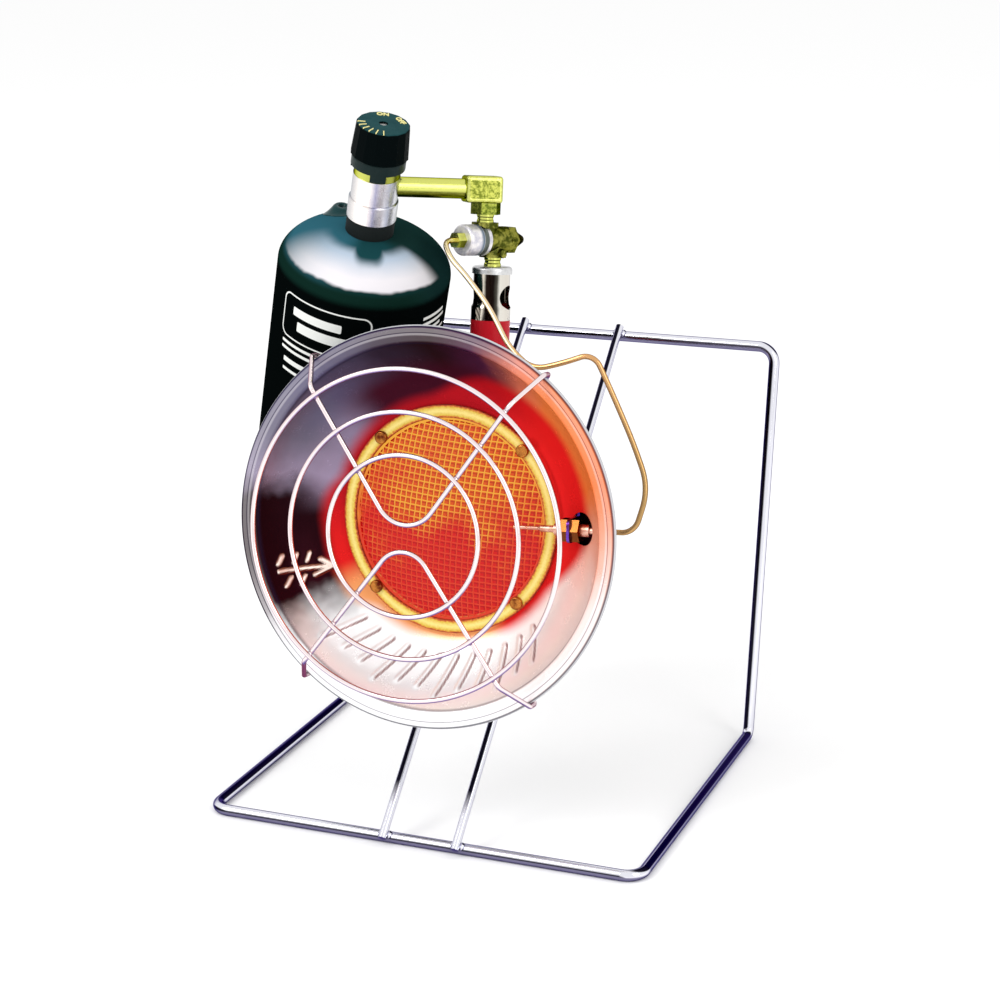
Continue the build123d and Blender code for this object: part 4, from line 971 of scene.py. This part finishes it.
def bead(where, size, turns=10, rows=6):
    """A weld bead: half axes size, waved by a tenth round its edge, in rows from pole to pole."""
    v = np.linspace(0.15, np.pi - 0.15, rows)[:, None]
    u = circle(turns)[None, :]
    wave = 1 + 0.1 * np.sin(3 * u) * np.sin(v)
    x, y = (np.sin(v) * f(u) * wave for f in (np.cos, np.sin))
    points = np.stack([size[0] * x, size[1] * y, size[2] * np.cos(v) + 0 * u], -1)
    faces = [face[::-1] for face in capped_cells(rows, turns)]
    return placed(where, points.reshape(-1, 3)), faces


def guard_welds():
    """Beads where the forks' legs cross the rings: |p| = R along a leg's line, which goes from its
    root on the face's Y axis to its hook on the brim."""
    hook_out, hook_up, front = 67.0, 88.5, 23.6
    made = []
    for way, root in ((1, -7.7), (-1, 2.0)):
        spread = math.atan2(hook_out, way * (way * hook_up - root))
        for ring in (89.3, 66.5, 43.6):
            chord = math.sqrt(ring**2 - (root * math.sin(spread)) ** 2)
            reach = -way * root * math.cos(spread) + chord
            for side in (-1, 1):
                x, y = side * math.sin(spread) * reach, root + way * math.cos(spread) * reach
                made.append(bead(turned(FACE, x=x, y=y, z=front), (1.9, 1.9, 1.0)))
    return made


def strut_welds():
    """Beads in the two corners between each strut's end and the wire that it lies on."""
    back, lean, front_y, wire_z = 238.0, math.radians(11.2), -103.5, 3.175
    top_y, top_z = -front_y + back * math.sin(lean), wire_z + back * math.cos(lean)
    tilt = math.degrees(math.atan2(top_z - wire_z, top_y - front_y))
    ends = [(x, front_y, wire_z) for x in (-19.0, 25.0)]
    ends += [(x, top_y, top_z) for x in (-31.25, 31.25)]
    made = []
    for x, y, z in ends:
        for side in (-1, 1):
            corner = turned(turned(ROW, x=x, y=y, z=z, rx=tilt), x=side * 2.6, z=3.4)
            made.append(bead(corner, (1.6, 2.6, 1.3)))
    return made


def round_mark(text, radius, angle):
    """A mark set round the knob's axis with its foot towards the middle: (text, x, y, turn)."""
    a = math.radians(angle)
    return text, radius * math.cos(a), radius * math.sin(a), angle - 90


def lettered(name, words, where, size, thick, material, body):
    """Raised marks: (text, x, y, turn) each set flat in a frame, and placed by their points."""
    parts = []
    for text, x, y, turn in words:
        line = bpy.data.curves.new("mark", "FONT")
        line.body = text
        line.size = size
        line.extrude = thick
        line.bevel_depth = thick * 0.4
        line.align_x, line.align_y = "CENTER", "CENTER"
        holder = bpy.data.objects.new("mark", line)
        data = bpy.data.meshes.new_from_object(holder)
        flat = np.zeros(len(data.vertices) * 3)
        data.vertices.foreach_get("co", flat)
        faces = [list(p.vertices) for p in data.polygons]
        parts.append((placed(turned(where, x=x, y=y, rz=turn), flat.reshape(-1, 3)), faces))
        bpy.data.objects.remove(holder)
        bpy.data.curves.remove(line)
        bpy.data.meshes.remove(data)
    return mesh_piece(name, parts, material, body, smooth=False)


def dress(material, *names):
    """Gives a finish to pieces of the solids."""
    for name in names:
        data = nodes[name].data
        data.materials.clear()
        data.materials.append(material)


def make_studio():
    """A pale floor that keeps the shadow, an even white surround and two large soft lamps."""
    half = 40.0
    data = bpy.data.meshes.new("floor")
    corners = [(-half, -half, 0), (half, -half, 0), (half, half, 0), (-half, half, 0)]
    data.from_pydata(corners, [], [(0, 1, 2, 3)])
    floor = link("floor", data)
    paper = (0.98, 0.98, 0.98, 1)
    finish, _ = finish_of("floor_paper", paper, roughness=0.9, Specular_IOR_Level=0.0)
    data.materials.append(finish)

    world = bpy.data.worlds.new("studio")
    bpy.context.scene.world = world
    world.use_nodes = True
    g = Graph(world.node_tree)
    background = next(n for n in world.node_tree.nodes if n.type == "BACKGROUND")
    rays = g.add("ShaderNodeLightPath").outputs
    shown = g.most(rays["Is Camera Ray"], rays["Is Glossy Ray"])
    shown = g.most(shown, rays["Is Transmission Ray"])
    g.feed(background.inputs["Color"], (1, 1, 1, 1))
    g.feed(background.inputs["Strength"], g.map(shown, 0.0, 1.0, 0.98, 1.0))

    middle = (0, 0, 0.2)
    add_lamp("key", (-1.3, -1.7, 1.9), middle, (1.2, 1.2), 26.0)
    add_lamp("fill", (1.9, -1.0, 1.2), middle, (1.0, 1.6), 12.0)
    bpy.context.scene.view_settings.view_transform = "Standard"


set_camera()
make_effects()
make_studio()

# ---- Stand and guard ----
# The wires carry painted light: dark painted reflections of flags ahead left and at the upper
# right, grey violet painted shade on their undersides, and a painted violet outline.
ahead_left, below = (-0.5, -0.82, -0.28), (0.0, -0.3, -0.95)
upper_right, upper_side = (0.55, 0.1, 0.83), (-0.12, -0.67, 0.73)
bright, painted_dark_reflection, painted_underside_shade = colour(232, 232, 240), colour(22, 20, 34), colour(126, 122, 150)
outline, grazing = colour(96, 92, 128), colour(150, 144, 186)
flags = ((ahead_left, 0.62, 0.75), (below, 0.12, 0.4, painted_underside_shade), (upper_right, 0.8, 0.88))
stand_chrome = wire_chrome("stand_chrome", bright, painted_dark_reflection, outline, flags, 0.45, grazing)
dress(stand_chrome, "base_frame")
# The struts: a dark painted reflection on what faces up and ahead, above 20 mm, and grey violet
# painted shade on their undersides.
flags = ((upper_side, 0.8, 0.9), (below, 0.3, 0.6, painted_underside_shade))
strut_chrome = wire_chrome("strut_chrome", bright, painted_dark_reflection, outline, flags, 0.6, grazing, above=20.0)
dress(strut_chrome, "strut_left", "strut_right")
mesh_piece("strut_welds", strut_welds(), stand_chrome)
# The guard: violet painted shade on its undersides and a painted rose outline.
warm, violet, rose = colour(246, 232, 232), colour(128, 112, 170), colour(170, 130, 150)
guard_chrome = wire_chrome("guard_chrome", warm, violet, rose, ((below, 0.25, 0.75),))
dress(guard_chrome, "guard_fork_upper", "guard_fork_lower")
dress(guard_chrome, "guard_ring_outer", "guard_ring_middle", "guard_ring_inner")
mesh_piece("guard_welds", guard_welds(), guard_chrome)

# ---- Reflector and burner ----
bowl_points, bowl_faces, bowl_raised = reflector_sheet()
bowl = mesh_piece("pressed_reflector", [(bowl_points, bowl_faces)], reflector_finish())
raise_mark(bowl, bowl_raised)
wall = bowl.modifiers.new("sheet", "SOLIDIFY")
wall.thickness = 0.0008
wall.offset = 0.0
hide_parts("reflector_dish")
dress(ring_finish(), "screen_ring")
dress(glowing("screen_glow", colour(214, 84, 26), colour(206, 26, 28), grid=True), "inner_screen")
cloth = glowing("screen_wire", colour(236, 168, 56), colour(216, 60, 34))
woven = mesh_piece("woven_screen", woven_cloth(), cloth)
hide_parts("outer_screen")
steel = plain_metal("plain_steel", colour(204, 202, 200), colour(180, 178, 176), 0.22, 0.38)
dress(steel, "head_bracket", "bracket_screws", "burner_housing", "diffuser_plate")
dress(steel, "safety_magnet", "valve_armature")
hot_screw = plain_metal("hot_screw", colour(200, 130, 60), colour(90, 20, 14), 0.2, 0.35)
dress(hot_screw, "ring_screws")
dress(moulded("gasket_fibre", colour(222, 218, 206), 0.7, 0.9), "burner_gasket")

# ---- Mixing tube and valve ----
dress(enamel("red_enamel", colour(178, 18, 32)), "mixing_tube")
dress(striped_metal("collar_chrome", NECK, COLLAR, 0.06, 0.14), "air_collar")
zinc = plain_metal("cap_zinc", colour(222, 222, 222), colour(170, 170, 172), 0.22, 0.4, 3.0)
dress(zinc, "tube_cap")
dress(elbow_finish(), "elbow")
olive = brass_cast("olive_brass", colour(150, 148, 70), colour(72, 78, 28), 1.4)
dress(olive, "valve_body", "button_bonnet", "test_plug")
dress(brass_cast("button_brass", colour(96, 92, 40), colour(50, 52, 26), 1.8), "safety_button")
smooth_brass = turned_brass("turned_brass", colour(216, 220, 116), colour(120, 126, 30))
dress(smooth_brass, "supply_arm", "gas_jet", "lower_nipple", "upper_nipple", "regulator_core")
dress(smooth_brass, "depressor_pin", "union_nut", "regulator_spindle", "cylinder_valve_core")
dress(turned_brass("hot_bronze", colour(190, 116, 56), colour(66, 14, 18)), "thermocouple_nuts")
dress(striped_metal("silver_shell", TANK, SILVER, 0.2, 0.34), "regulator_sleeve", "tank_socket")
dress(can_finish(), "magnet_housing")

# ---- Knob, regulator and cylinder ----
dress(moulded("clip_plastic", colour(10, 30, 30)), "knob_clip")
dress(knob_finish(), "regulator_knob")
dress(steel, "knob_screw", "cylinder_neck")
marks = [round_mark("OFF", 10.5, 18), round_mark("ON", 10.5, 82)]
marks += [round_mark("|", 12.5, angle) for angle in range(-185, -99, 17)]
cream = moulded("mark_cream", colour(232, 222, 150))
lettered("knob_marks", marks, turned(TANK, z=38.5), 4.4, 0.3, cream, "knob")
dress(moulded("seal_rubber", colour(16, 22, 22), 0.5, 0.7), "cylinder_seal")
dress(cylinder_finish(), "cylinder_shell")
green_enamel = enamel("green_enamel", colour(16, 56, 58))
dress(green_enamel, "foot_ring")
boss = mesh_piece("relief_boss", [relief_boss()], green_enamel, "cylinder")
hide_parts("relief_valve")

# ---- Thermocouple ----
# A cup painted dark behind the thermocouple's hole, as the shade seen through it.
mesh_piece("hole_shade_cup", [hole_shade_cup()], hole_shade_finish())
probe = plain_metal("probe_steel", colour(238, 196, 176), colour(190, 120, 96), 0.2, 0.4)
dress(probe, "thermocouple_probe")
clip = plain_metal("clip_steel", colour(80, 14, 32), colour(112, 70, 190), 0.14, 0.3)
dress(clip, "thermocouple_plate")
dress(lead_finish(), "thermocouple_lead")
